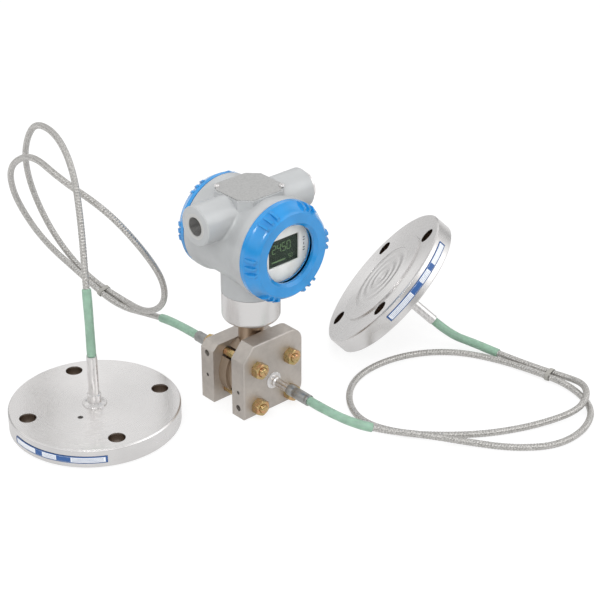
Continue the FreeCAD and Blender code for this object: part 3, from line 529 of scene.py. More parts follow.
def blasted_steel(name, base):
    """Bead-blasted stainless casting: dull, warm, evenly grained."""
    finish = Finish(name, base, metallic=0.8, roughness=0.5)
    here = finish.place()
    finish.tint(finish.noise(here, 35, 5), shade(base, 0.88), shade(base, 1.05))
    finish.rough(finish.noise(here, 260), 0.44, 0.6)
    finish.relief(finish.noise(here, 1600, 2), 0.0001, 0.5, edge=0.0006)
    return finish.material


def turned_steel(name, origin, rotation, low=0.2, high=0.36):
    """Lathe-turned stainless: fine rings about the piece's axis in colour, gloss and relief."""
    base = colours().turned
    finish = Finish(name, base, metallic=1.0, roughness=0.3)
    here = finish.place(origin, rotation)
    marks = finish.rings(finish.radius(here), 900)
    finish.tint(marks, shade(base, 0.86), shade(base, 1.04))
    finish.rough(marks, low, high)
    finish.relief(marks, 0.00005, 0.4, edge=0.0005)
    finish.round_grain(origin, (0, 0, 1), 0.5)
    return finish.material


def collar_steel():
    """The turned collar, bright, on a neck that is left brown from its weld."""
    material = turned_steel("collar_steel", tuple(STAND), (0, 0, 0), 0.22, 0.36)
    finish = Finish.of(material)
    parts = finish.node("ShaderNodeSeparateXYZ")
    finish.feed(parts, 0, finish.place())
    bright = finish.shader.inputs["Base Color"].links[0].from_socket
    neck = finish.math("LESS_THAN", parts.outputs[2], COLLAR_BOTTOM)
    finish.feed(finish.shader, "Base Color", finish.mix(neck, bright, from_screen(186, 164, 142)))
    return material


def drawn_steel(name, colour, low=0.24, high=0.4):
    """Drawn or ground stainless with small streaks in colour, gloss and relief."""
    finish = Finish(name, colour, metallic=1.0, roughness=0.3)
    here = finish.place(scale=(1, 1, 0.15))
    marks = finish.noise(here, 500, 3)
    finish.tint(marks, shade(colour, 0.84), shade(colour, 1.06))
    finish.rough(marks, low, high)
    finish.relief(marks, 0.00001, 0.3, edge=0.0003)
    return finish.material


def yellow_zinc():
    """Yellow chromate on zinc: gold with a green and rose shimmer from place to place."""
    base = colours().zinc
    finish = Finish("yellow_zinc", base, metallic=1.0, roughness=0.26)
    patches = finish.noise(finish.place(), 140, 3)
    green = (base[0] * 0.85, base[1] * 0.96, base[2] * 0.85)
    rose = (min(1, base[0] * 1.15), base[1] * 0.85, base[2] * 0.95)
    shimmer = finish.ramp(patches, (0.3, green), (0.5, tuple(base)), (0.7, rose))
    finish.feed(finish.shader, "Base Color", shimmer)
    finish.rough(finish.noise(finish.place(), 420), 0.18, 0.34)
    return finish.material


def armour_steel():
    """Interlocked stainless strip in fine lighter and greyer patches, the lighter ones duller."""
    finish = Finish("armour_steel", from_screen(186, 184, 180), metallic=0.9, roughness=0.36)
    marks = finish.noise(finish.place(), 700, 2)
    finish.tint(marks, from_screen(166, 164, 160), from_screen(226, 224, 221))
    finish.rough(marks, 0.28, 0.46)
    return finish.material


def sleeve_tubing():
    """Milky green shrink tubing, soft and slightly see-through."""
    base = colours().sleeves
    finish = Finish("sleeve_tubing", base, roughness=0.36)
    here = finish.place()
    finish.tint(finish.noise(here, 90, 3), shade(base, 0.88), shade(base, 1.1))
    finish.relief(finish.noise(here, 500, 2), 0.0001, 0.4)
    finish.shader.inputs["Subsurface Weight"].default_value = 0.25
    finish.shader.inputs["Subsurface Radius"].default_value = (0.002, 0.003, 0.002)
    finish.shader.inputs["Subsurface Scale"].default_value = 1.0
    return finish.material


def moulded(name, colour, roughness=0.5):
    """A moulded plastic or rubber with a faint grain."""
    finish = Finish(name, colour, roughness=roughness)
    here = finish.place()
    finish.tint(finish.noise(here, 60, 3), shade(colour, 0.9), shade(colour, 1.08))
    finish.relief(finish.noise(here, 1300, 2), 0.00006, 0.4)
    return finish.material


def window_glass():
    """Clear glass with a coating against reflections, so it bends and returns little light."""
    finish = Finish("window_glass", (1.0, 1.0, 1.0), roughness=0.02)
    finish.shader.inputs["Transmission Weight"].default_value = 1.0
    finish.shader.inputs["IOR"].default_value = 1.12
    smudge = finish.noise(finish.place(), 25, 3)
    finish.rough(smudge, 0.01, 0.05)
    return finish.material


def liquid_crystal():
    """The unlit screen: dark green, slightly uneven, with little gloss."""
    finish = Finish("liquid_crystal", from_screen(34, 48, 36), roughness=0.4)
    finish.tint(finish.noise(finish.place(), 30, 2), from_screen(26, 38, 28), from_screen(40, 62, 44))
    finish.shader.inputs["Specular IOR Level"].default_value = 0.25
    return finish.material


def label_film():
    """Printed film: a blue frame, two blue fields, broken grey rows between them and ruled grey
    rows to one side, laid out on the label's own length (u) and height (v)."""
    finish = Finish("label_film", from_screen(236, 240, 246), roughness=0.35)
    layout = finish.node("ShaderNodeUVMap", uv_map="print")
    parts = finish.node("ShaderNodeSeparateXYZ")
    finish.feed(parts, 0, layout.outputs[0])
    u, v = parts.outputs[0], parts.outputs[1]
    inside = finish.math("MULTIPLY", finish.band(u, 0.02, 0.98), finish.band(v, 0.12, 0.88))
    fields = finish.math("ADD", finish.band(u, 0.29, 0.37), finish.band(u, 0.52, 0.66))
    field = finish.math("MULTIPLY", fields, finish.band(v, 0.14, 0.86))
    wide = finish.math("FRACT", finish.math("MULTIPLY", v, 5.0))
    rows = finish.math("MULTIPLY", finish.band(wide, 0.35, 0.62), finish.band(v, 0.2, 0.8))
    broken = finish.noise(layout.outputs[0], 60, 1)
    script = finish.math("MULTIPLY", rows, finish.math("GREATER_THAN", broken, 0.45))
    script = finish.math("MULTIPLY", script, finish.band(u, 0.38, 0.51))
    ruled_part = finish.math("MULTIPLY", rows, finish.band(u, 0.67, 0.96))
    rows = finish.math("ADD", script, ruled_part)
    white = from_screen(236, 240, 246)
    blue = tuple(colours().print_blue)
    ruled = finish.mix(rows, white, from_screen(120, 138, 170))
    ruled = finish.mix(field, ruled, blue)
    finish.feed(finish.shader, "Base Color", finish.mix(inside, blue, ruled))
    return finish.material


def paint_node(name, material, smooth=True):
    """Give a CAD node its finish; its loose triangles are welded and parted again at creases."""
    piece = NODES.get(name)
    if piece is None:
        raise RuntimeError("the frame has no node " + name)
    if not piece.material_slots:
        piece.data.materials.append(material)
    for place in piece.material_slots:
        place.material = material
    if smooth:
        weld = piece.modifiers.new("weld", "WELD")
        weld.merge_threshold = 1e-6
        piece.data.polygons.foreach_set("use_smooth", np.ones(len(piece.data.polygons), dtype=bool))
        crease = piece.modifiers.new("crease", "EDGE_SPLIT")
        crease.split_angle = math.radians(30)
    return piece


# ---------------------------------------------------------------- the capillaries

def route_line(side):
    """A capillary's line, from the head pipe's end to the seal pipe's end."""
    if side == "low":
        first = [STAND[0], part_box("rear_head_pipe")[1][1], HEAD_MIDDLE]
        last = np.array([*middle("low_seal_neck")[:2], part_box("low_seal_neck")[1][2]])
        before_last = last + np.array([0, 0, LOW_LEAD])
        route = LOW_ROUTE
    else:
        first = [STAND[0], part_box("front_head_pipe")[0][1], HEAD_MIDDLE]
        last = HIGH_SEAL - HIGH_OUT * PIPE_END
        before_last = last - HIGH_OUT * HIGH_LEAD
        route = HIGH_ROUTE
    inner = np.array(route) + STAND
    return smooth_line(side + "_line", np.concatenate([[first], inner, [before_last], [last]]))


def armour(side, line, material):
    """Stripwound hose: along each pitch the radius rises from a narrow groove to a flat crest, and
    the groove winds round the line as a helix."""
    radius = sizes().hose_diameter / 2
    pitch = sizes().armour_pitch
    length = stations(line)[-1]
    turns = int(length / pitch) + 2
    share = np.array([0.0, 0.16, 0.5, 0.84])
    drop = np.array([1.0, 0.12, 0.0, 0.12]) * sizes().armour_groove
    along = ((np.arange(turns)[:, None] + share[None, :]) * pitch - pitch).ravel()
    ring = (radius - np.broadcast_to(drop, (turns, 4))).ravel()
    inside = along < length
    along = np.concatenate([[-pitch], along[inside], [length, length]])
    ring = np.concatenate([[0.0], ring[inside], [radius - drop[0], 0.0]])
    grid = tube_on(line, along, ring, 14, slide=pitch)
    piece = surface(side + "_capillary", [grid], material, "root", crease=60)
    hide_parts(side + "_hose")
    return piece


def sleeve(name, line, start, stop, material):
    """Soft tubing over the hose: an outer wall with chamfered lips, whose radius ripples as the
    cube of a sine along it, closed by an inner wall."""
    outer = sizes().sleeve_diameter / 2
    inner = sizes().hose_diameter / 2 + 0.00005
    lip = 0.0006
    middle_part = np.linspace(start + lip, stop - lip, 40)
    ripple = 0.00012 * np.sin(np.linspace(0, 9, 40)) ** 3
    along = np.concatenate([[start], middle_part, [stop], np.linspace(stop, start, 40), [start]])
    outer_wall = np.concatenate([[outer - lip], outer + ripple - 0.00012, [outer - lip]])
    ring = np.concatenate([outer_wall, np.full(40, inner), [outer - lip]])
    grid = tube_on(line, along, ring, 24)
    piece = surface(name + "_tubing", [grid], material, "root")
    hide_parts(name)
    return piece


def nearest(line, place):
    """Number of the point of a line that is nearest to a place."""
    return int(np.argmin(np.linalg.norm(line - place, axis=1)))


def tie(side, line, material):
    """A flat band round two strands: a racetrack whose two half circles are centred on the
    strands, carried along their heading for the band's width."""
    place = middle(side + "_tie")
    half = len(line) // 2
    first = nearest(line[:half], place)
    second = half + nearest(line[half:], place)
    one = line[first]
    across = line[second] - one
    heading = line[first + 1] - line[first - 1]
    along = heading - across * (heading @ across) / (across @ across)
    along /= np.linalg.norm(along)
    gap = np.linalg.norm(across)
    across /= gap
    lift = np.cross(along, across)
    turn = np.linspace(0, 2 * math.pi, 65)
    shift = np.where(np.cos(turn) >= 0, gap, 0.0)
    inner = sizes().hose_diameter / 2 + 0.0002
    outer = inner + 0.0009
    half_width = 0.0025
    profile = [(inner, -half_width), (outer, -half_width), (outer + 0.0002, 0), (outer, half_width),
               (inner, half_width), (inner, -half_width)]
    grid = np.empty((len(profile), len(turn), 3))
    for row, (reach, offset) in enumerate(profile):
        grid[row] = (
            one + (shift + reach * np.cos(turn))[:, None] * across
            + (reach * np.sin(turn))[:, None] * lift + offset * along)
    grid[:, -1] = grid[:, 0]
    piece = surface(side + "_strand_tie", [grid], material, "root")
    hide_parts(side + "_tie")
    return piece


class TRANSMITTER_OT_capillaries(bpy.types.Operator):
    """Make both armoured capillaries with their end sleeves and ties"""
    bl_idname = "transmitter.capillaries"
    bl_label = "Capillaries"

    def execute(self, context):
        strip = armour_steel()
        tubing = sleeve_tubing()
        band = moulded("tie_band", from_screen(168, 166, 160), 0.45)
        for side, head_part, seal_part, length in (
                ("low", 0.069, 0.078, LOW_LENGTH), ("high", 0.082, 0.092, HIGH_LENGTH)):
            line = route_line(side)
            total = stations(line)[-1]
            hose = armour(side, line, strip)
            parts = [
                sleeve(side + "_head_sleeve", line, 0.0, head_part, tubing),
                sleeve(side + "_seal_sleeve", line, total - seal_part, total, tubing),
                tie(side, line, band)]
        return {"FINISHED"}


# ---------------------------------------------------------------- the two seals

def seal_axes(side):
    """A seal's foot on its process face, its axes (the third towards its back) and the turn of
    its label's middle about them."""
    if side == "low":
        return LOW_SEAL, (1, 0, 0), (0, 1, 0), (0, 0, 1), math.radians(-153)
    foot = HIGH_SEAL + HIGH_OUT * 0.0007
    right = np.cross(HIGH_ACROSS, -HIGH_OUT)
    return foot, right, HIGH_ACROSS, -HIGH_OUT, math.radians(52)


def label_strip(side, material):
    """Thin film on the flange's rim: points at the cosine and sine of the turn times the label's
    radius, over the label's height, with its length and height laid out as u and v."""
    base, right, up, out, centre_angle = seal_axes(side)
    columns, rows = 49, 5
    turn = centre_angle + np.linspace(-LABEL_SPAN / 2, LABEL_SPAN / 2, columns)
    height = np.linspace(-LABEL_HALF_HEIGHT, LABEL_HALF_HEIGHT, rows) + FLANGE_THICK / 2
    grid = np.empty((rows, columns, 3))
    grid[..., 0] = LABEL_RADIUS * np.cos(turn)
    grid[..., 1] = LABEL_RADIUS * np.sin(turn)
    grid[..., 2] = height[:, None]
    piece = surface(side + "_label_strip", [placed(grid, base, right, up, out)], material, "root",
                    merge=False)
    mesh = piece.data
    layer = mesh.uv_layers.new(name="print")
    corner = np.empty(len(mesh.loops), dtype=np.int32)
    mesh.loops.foreach_get("vertex_index", corner)
    u = (corner % columns) / (columns - 1)
    v = (corner // columns) / (rows - 1)
    layer.data.foreach_set("uv", np.stack([u, v], axis=-1).ravel())
    thicken(piece, 0.0003)
    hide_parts(side + "_seal_label")
    return piece


def neck_weld(side, material):
    """Weld bead where the seal's pipe meets its flange: a ring of round section, whose radius swells
    and falls as overlapping beads, thirty to a turn."""
    base, right, up, out, _ = seal_axes(side)
    turn = np.linspace(0, 2 * math.pi, 121)
    around = np.linspace(0, 2 * math.pi, 13)
    bead = 0.0013 * (1 + 0.12 * np.abs(np.sin(15 * turn)))
    ring = NECK_RADIUS + bead[None, :] * np.cos(around)[:, None]
    grid = np.empty((13, 121, 3))
    grid[..., 0] = ring * np.cos(turn)
    grid[..., 1] = ring * np.sin(turn)
    grid[..., 2] = FLANGE_THICK + 0.0002 + bead[None, :] * np.sin(around)[:, None]
    grid[:, -1] = grid[:, 0]
    grid[-1] = grid[0]
    piece = surface(side + "_neck_weld", [placed(grid, base, right, up, out)], material, "root")
    return piece


def lean_rotation():
    """The three turns, in the order that a Mapping node takes them, that bring the leaning seal's
    axis onto the third axis."""
    from_lean = np.array([np.cross(HIGH_ACROSS, HIGH_OUT), HIGH_ACROSS, HIGH_OUT])
    pitch = math.asin(-from_lean[2][0])
    roll = math.atan2(from_lean[2][1], from_lean[2][2])
    yaw = math.atan2(from_lean[1][0], from_lean[0][0])
    return (roll, pitch, yaw)


def flange_steel(side):
    """Faced and polished flange: turning rings under broad cloudy polish, and drilled holes whose walls are
    darkened as painted shade.
    """
    base = colours().turned
    finish = Finish(side + "_flange_steel", tuple(base), metallic=1.0, roughness=0.28)
    if side == "low":
        here = finish.place(tuple(LOW_SEAL))
        depths = (0.0023, 0.0219)
    else:
        here = finish.place(tuple(HIGH_SEAL), lean_rotation())
        depths = (-0.0212, -0.0016)
    marks = finish.rings(finish.radius(here), 1500)
    clouds = finish.noise(here, 14, 4)
    both = finish.math("ADD", finish.math("MULTIPLY", marks, 0.5), finish.math("MULTIPLY", clouds, 0.5))
    finish.tint(both, shade(base, 0.8), shade(base, 1.05))
    parts = finish.node("ShaderNodeSeparateXYZ")
    finish.feed(parts, 0, here)
    # Painted shade: the walls of the drilled holes, inside the flange's thickness, are darkened.
    hole_shade = finish.math("MULTIPLY", finish.band(parts.outputs[2], *depths),
                        finish.math("LESS_THAN", finish.radius(here), 0.092))
    faced = finish.shader.inputs["Base Color"].links[0].from_socket
    finish.feed(finish.shader, "Base Color", finish.mix(hole_shade, faced, from_screen(152, 140, 130)))
    finish.rough(both, 0.18, 0.36)
    finish.relief(marks, 0.00005, 0.5, edge=0.0006)
    if side == "low":
        finish.round_grain(tuple(LOW_SEAL), (0, 0, 1), 0.75)
    else:
        finish.round_grain(tuple(HIGH_SEAL), tuple(float(part) for part in HIGH_OUT), 0.75)
    return finish.material


class TRANSMITTER_OT_seals(bpy.types.Operator):
    """Finish both remote seals: flanges, diaphragms, pipes, welds and rim labels"""
    bl_idname = "transmitter.seals"
    bl_label = "Remote seals"

    def execute(self, context):
        bright = drawn_steel("seal_pipe_steel", tuple(colours().turned))
        film = label_film()
        for side in ("low", "high"):
            paint_node(side + "_seal_flange", flange_steel(side))
            paint_node(side + "_seal_diaphragm", flange_steel(side))
            paint_node(side + "_seal_neck", bright)
            # The fill plugs are dark grey: painted shade of the recessed port they sit in.
            paint_node(side + "_seal_plug", drawn_steel("fill_plug_shade", from_screen(88, 86, 84)))
            neck_weld(side, bright)
            label_strip(side, film)
        return {"FINISHED"}


# ---------------------------------------------------------------- process heads and their bolts

FRONT_AXES = ((1, 0, 0), (0, 0, 1), (0, -1, 0))
REAR_AXES = ((-1, 0, 0), (0, 0, 1), (0, 1, 0))
BOLT_HALF = 0.0235
NUT_FLATS = 0.017
NUT_HEIGHT = 0.0095
STUD_RADIUS = 0.005
STUD_PITCH = 0.0015
STUD_THREAD_DEPTH = 0.00045
STUD_PROUD = 0.0022
DOME_HEIGHT = 0.0021


def bolt_centres():
    """The four bolt axes: half the bolt square either way from the cell's axis."""
    return [(STAND[0] + across, HEAD_MIDDLE + rise)
            for across in (-BOLT_HALF, BOLT_HALF) for rise in (-BOLT_HALF, BOLT_HALF)]


def head_bolts(material):
    """Chamfered nuts on narrow washer faces, and studs with threads and domed ends: a dome's radius
    and height are the cosine and sine of one angle."""
    nuts = []
    studs = []
    face_gap = REAR_HEAD_FACE - FRONT_HEAD_FACE
    rest = face_gap / 2 + NUT_HEIGHT
    tip = rest + STUD_PROUD + DOME_HEIGHT
    thread = threads(STUD_RADIUS, rest - 0.001, rest + 0.002, STUD_PITCH, STUD_THREAD_DEPTH)
    back_thread = [(radius, -height) for radius, height in reversed(thread)]
    dome = [(STUD_RADIUS * math.cos(turn), rest + STUD_PROUD + DOME_HEIGHT * math.sin(turn))
            for turn in np.linspace(0.15, math.pi / 2 - 0.05, 7)]
    back_dome = [(radius, -height) for radius, height in reversed(dome)]
    profile = [(0, -tip)] + back_dome + back_thread + thread + dome + [(0, tip)]
    middle_y = (REAR_HEAD_FACE + FRONT_HEAD_FACE) / 2
    for x, z in bolt_centres():
        studs.append(placed(lathe(profile, 32), (x, middle_y, z), *FRONT_AXES))
        for face, axes in ((FRONT_HEAD_FACE, FRONT_AXES), (REAR_HEAD_FACE, REAR_AXES)):
            nut = hexagon_nut(NUT_FLATS, NUT_HEIGHT, STUD_RADIUS)
            nuts.append(placed(nut, (x, face, z), *axes))
    nut_piece = surface("head_bolt_nuts", nuts, material, "root")
    stud_piece = surface("head_bolt_studs", studs, material, "root")
    for piece, node in ((nut_piece, "head_nuts"), (stud_piece, "head_studs")):
        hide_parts(node)


def swaged_sleeves(material):
    """Steel sleeve swaged over the outer half of each head pipe: a plain tube with rounded ends
    and two shallow swaging rings."""
    tops = [(0.005, 0.026), (0.0057, 0.0262), (0.0063, 0.0268), (0.0064, 0.028), (0.0064, 0.034),
            (0.0061, 0.0345), (0.0061, 0.0375), (0.0064, 0.038), (0.0064, 0.054), (0.0061, 0.0545),
            (0.0061, 0.0565), (0.0064, 0.057), (0.0064, 0.0592), (0.006, 0.0599), (0.005, 0.06),
            (0.005, 0.026)]
    for name, face, axes in (("front", FRONT_HEAD_FACE, FRONT_AXES), ("rear", REAR_HEAD_FACE, REAR_AXES)):
        grid = placed(lathe(tops, 48), (STAND[0], face, HEAD_MIDDLE), *axes)
        piece = surface(name + "_pipe_sleeve", [grid], material, "root")


def drain_threads(material):
    """Threads in the drain holes, closed at their bottom: the bore's radius less a triangle wave once a
    pitch. Their dark grey is painted shade inside the holes.
    """
    grids = []
    depth = 0.0125
    for node, height in (("front_process_head", 0.012), ("rear_process_head", 0.060)):
        mouth = (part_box(node)[0][0] + 0.0003, middle(node)[1], height)
        profile = threads(0.0037, 0.0004, depth, 0.0014, 0.0005, inward=True) + [(0.0, depth)]
        grids.append(placed(lathe(profile, 32), mouth, (0, 1, 0), (0, 0, 1), (1, 0, 0)))
    piece = surface("drain_threads", grids, material, "root")


class TRANSMITTER_OT_heads(bpy.types.Operator):
    """Finish the cell, the process heads and the collar; make bolts, pipe sleeves and drain threads"""
    bl_idname = "transmitter.heads"
    bl_label = "Process heads"

    def execute(self, context):
        blasted = blasted_steel("blasted_steel", tuple(colours().blasted))
        bright = drawn_steel("pipe_steel", tuple(colours().turned))
        for name in ("front_process_head", "rear_process_head"):
            paint_node(name, blasted)
        paint_node("measuring_cell", blasted_steel("welded_steel", from_screen(172, 154, 135)))
        for name in ("front_head_pipe", "rear_head_pipe"):
            paint_node(name, bright)
        paint_node("vent_screws", drawn_steel("vent_steel", from_screen(96, 94, 91)))
        paint_node("neck_collar", collar_steel())
        paint_node("head_gaskets", moulded("head_gasket", from_screen(226, 224, 216), 0.6))
        head_bolts(yellow_zinc())
        swaged_sleeves(drawn_steel("swaged_steel", from_screen(176, 176, 174), 0.36, 0.5))
        # The drain threads are dark grey: painted shade inside the drain holes.
        drain_threads(drawn_steel("bore_shade", from_screen(70, 67, 64), 0.4, 0.6))
        return {"FINISHED"}


# ---------------------------------------------------------------- housing

def conduit_thread(material):
    """Thread in the open conduit entry: the bore's radius less a triangle wave each pitch."""
    mouth = (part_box("housing")[0][0], STAND[1], middle("conduit_plug")[2])
    start, stop, wall = 0.001, 0.022, 0.01049
    profile = threads(0.0096, start, stop, 0.0018, 0.0009, inward=True)
    profile = [(wall, start)] + profile + [(wall, stop), (wall, start)]
    grid = placed(lathe(profile, 64), mouth, (0, 1, 0), (0, 0, 1), (1, 0, 0))
    piece = surface("conduit_thread", [grid], material, "housing")


def plate_screws(material):
    """Round-headed screws on the name plate: a low dome with a round recess in its middle, turned
    from a profile."""
    grids = []
    low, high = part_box("name_plate_screws")
    plate_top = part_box("name_plate")[1][2]
    inset = 0.0032
    dome = [(0.0, 0.0016), (0.0008, 0.0016), (0.0011, 0.0026), (0.0018, 0.0025), (0.0026, 0.0021),
            (0.0031, 0.0015), (0.0033, 0.0008), (0.0033, 0.0), (0.0, 0.0)]
    for x, y in ((low[0] + inset, high[1] - inset), (high[0] - inset, low[1] + inset)):
        grids.append(placed(lathe(dome, 32), (x, y, plate_top), (1, 0, 0), (0, 1, 0), (0, 0, 1)))
    piece = surface("plate_screw_heads", grids, material, "housing")
    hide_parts("name_plate_screws")


class TRANSMITTER_OT_housing(bpy.types.Operator):
    """Finish the casting, its plate, plug, board and terminals; make its thread and screw heads"""
    bl_idname = "transmitter.housing"
    bl_label = "Housing"

    def execute(self, context):
        bright = drawn_steel("fitting_steel", tuple(colours().turned))
        paint_node("housing", casting_paint())
        paint_node("name_plate", drawn_steel("plate_metal", from_screen(206, 206, 205), 0.3, 0.45))
        paint_node("conduit_plug", bright)
        paint_node("circuit_board", moulded("circuit_board", from_screen(26, 92, 54), 0.35))
        dark = moulded("dark_moulding", from_screen(40, 41, 43), 0.5)
        paint_node("electronics_can", dark)
        paint_node("terminal_block", dark)
        paint_node("terminal_screws", drawn_steel("terminal_brass", from_screen(206, 184, 130)))
        conduit_thread(drawn_steel("cut_thread", from_screen(132, 131, 129), 0.3, 0.45))
        plate_screws(bright)
        return {"FINISHED"}


# ---------------------------------------------------------------- covers

class TRANSMITTER_OT_covers(bpy.types.Operator):
    """Finish the two screwed covers, the window and the sealing rings"""
    bl_idname = "transmitter.covers"
    bl_label = "Covers"

    def execute(self, context):
        enamel = cover_paint()
        for name in ("front_cover", "rear_cover", "window_ring"):
            paint_node(name, enamel)
        paint_node("window_glass", window_glass())
        rubber = moulded("seal_rubber", from_screen(34, 34, 35), 0.6)
        paint_node("front_cover_seal", rubber)
        paint_node("rear_cover_seal", rubber)
        return {"FINISHED"}


# ---------------------------------------------------------------- display

PRINT_THICK = 0.00004
VALUE_SHOWN = "24.50"
SHARE_SHOWN = "50"

# Which of its seven bars each digit lights: top, upper left, upper right, middle, lower left,
# lower right, bottom.
DIGIT_BARS = {"0": (1, 1, 1, 0, 1, 1, 1), "2": (1, 0, 1, 1, 1, 0, 1), "4": (0, 1, 1, 1, 0, 1, 0),
              "5": (1, 1, 0, 1, 0, 1, 1)}

# Where each bar lies, in digit widths and half heights, and whether it lies flat.
BAR_PLACES = ((0, 1, True), (-0.5, 0.5, False), (0.5, 0.5, False), (0, 0, True),
              (-0.5, -0.5, False), (0.5, -0.5, False), (0, -1, True))


def bar(centre, length, thick, level):
    """A flat six-cornered bar, pointed at its two ends, as two rows of points."""
    half, tip = length / 2, thick / 2
    along = np.array([-half, -half + tip, half - tip, half])
    rise = np.array([0, tip, tip, 0])
    grid = np.zeros((2, 4, 3))
    grid[:, :, 0] = centre[0] + along
    grid[0, :, 1] = centre[1] - rise
    grid[1, :, 1] = centre[1] + rise
    grid[..., 2] = level
    return grid


def upright(grid, centre):
    """The same bar turned a quarter round its centre."""
    turned = grid.copy()
    turned[..., 0] = centre[0] - (grid[..., 1] - centre[1])
    turned[..., 1] = centre[1] + (grid[..., 0] - centre[0])
    return turned


def digits(text, centre, height, level):
    """Seven-bar numbers side by side, with a square point where the text has one."""
    grids = []
    width = height * 0.5
    step = width * 1.45
    cursor = centre[0] - step * (len(text.replace(".", "")) - 1) / 2
    for mark in text:
        if mark == ".":
            spot = (cursor - step / 2, centre[1] - height / 2)
            grids.append(bar(spot, height * 0.12, height * 0.12, level))
            continue
        for lit, (across, rise, flat) in zip(DIGIT_BARS[mark], BAR_PLACES):
            if not lit:
                continue
            spot = (cursor + across * width, centre[1] + rise * height / 2)
            long = bar(spot, width * 0.92 if flat else height * 0.46, height * 0.11, level)
            grids.append(long if flat else upright(long, spot))
        cursor += step
    return grids


def display_marks(dark, face):
    """Numbers and a level bar on the screen, and small key marks at the right of the bezel."""
    screen_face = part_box("display_screen")[0][1] - 0.00005
    centre = (STAND[0], screen_face, BARREL_HEIGHT)
    shown = digits(VALUE_SHOWN, (-0.002, 0.0045), 0.0095, 0.0)
    shown += digits(SHARE_SHOWN, (0.011, -0.009), 0.0045, 0.0)
    shown += [bar((-0.006, -0.0105), 0.02, 0.0016, 0.0)]
    grids = [placed(grid, centre, *FRONT_AXES) for grid in shown]
    piece = surface("screen_numbers", grids, dark, "housing", merge=False)
    thicken(piece, PRINT_THICK)
    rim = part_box("display_bezel")[0][1] - PRINT_THICK
    marks = [bar((0.0285, rise), 0.0032, 0.0012, 0.0) for rise in (0.0075, 0.0045, -0.0045, -0.0075)]
    marks += [upright(bar((0.0285, 0.0), 0.0034, 0.0009, 0.0), (0.0285, 0.0))]
    grids = [placed(grid, (STAND[0], rim, BARREL_HEIGHT), *FRONT_AXES) for grid in marks]
    keys = surface("bezel_marks", grids, face, "housing", merge=False)
    thicken(keys, PRINT_THICK)


class TRANSMITTER_OT_display(bpy.types.Operator):
    """Finish the bezel and the screen, and set numbers on it"""
    bl_idname = "transmitter.display"
    bl_label = "Display"

    def execute(self, context):
        paint_node("display_bezel", moulded("bezel_white", from_screen(250, 249, 242), 0.3))
        paint_node("display_screen", liquid_crystal(), smooth=False)
        numbers = moulded("screen_numbers", from_screen(112, 146, 96), 0.6)
        display_marks(numbers, moulded("bezel_print", from_screen(46, 46, 48), 0.5))
        return {"FINISHED"}


# ---------------------------------------------------------------- floor, light and camera

CAMERA_OFFSET = (-1.0655, -1.2645, 1.020)
CAMERA_HEADING = (0.669, 0.743)
CAMERA_DROP = math.radians(28.5)
CAMERA_LENS = 102
LAMP_AIM = (0.0, 0.0, 0.1)


def floor_finish():
    """White paper, most of whose white is its own to the camera, so that shadows stay pale; in gloss it is
    greyer near the object than far from it, a painted shade around the object that metal and glass reflect."""
    material = bpy.data.materials.new("white_paper")
    material.use_nodes = True
    tree = material.node_tree
    tree.nodes.clear()
    output = tree.nodes.new("ShaderNodeOutputMaterial")
    path = tree.nodes.new("ShaderNodeLightPath")
    paper = tree.nodes.new("ShaderNodeBsdfDiffuse")
    paper.inputs["Color"].default_value = (0.8, 0.8, 0.8, 1)
    seen = tree.nodes.new("ShaderNodeBsdfDiffuse")
    seen.inputs["Color"].default_value = (0.26, 0.26, 0.26, 1)
    own = tree.nodes.new("ShaderNodeEmission")
    where = tree.nodes.new("ShaderNodeNewGeometry")
    reach = tree.nodes.new("ShaderNodeVectorMath")
    reach.operation = "LENGTH"
    # Painted shade: in gloss, the paper's own light is lower near the object than far from it.
    gloss_shade_near_object = tree.nodes.new("ShaderNodeMapRange")
    for socket, number in (("From Min", 0.4), ("From Max", 1.8), ("To Min", 0.55), ("To Max", 0.85)):
        gloss_shade_near_object.inputs[socket].default_value = number
    level = tree.nodes.new("ShaderNodeMix")
    level.inputs["B"].default_value = 0.8
    either = tree.nodes.new("ShaderNodeMath")
    either.operation = "MAXIMUM"
    both = tree.nodes.new("ShaderNodeAddShader")
    choose = tree.nodes.new("ShaderNodeMixShader")
    link = tree.links.new
    link(seen.outputs[0], both.inputs[0])
    link(own.outputs[0], both.inputs[1])
    link(where.outputs["Position"], reach.inputs[0])
    link(reach.outputs["Value"], gloss_shade_near_object.inputs["Value"])
    link(path.outputs["Is Camera Ray"], level.inputs["Factor"])
    link(gloss_shade_near_object.outputs["Result"], level.inputs["A"])
    link(level.outputs["Result"], own.inputs["Strength"])
    link(path.outputs["Is Camera Ray"], either.inputs[0])
    link(path.outputs["Is Glossy Ray"], either.inputs[1])
    link(either.outputs[0], choose.inputs[0])
    link(paper.outputs[0], choose.inputs[1])
    link(both.outputs[0], choose.inputs[2])
    link(choose.outputs[0], output.inputs["Surface"])
    return material


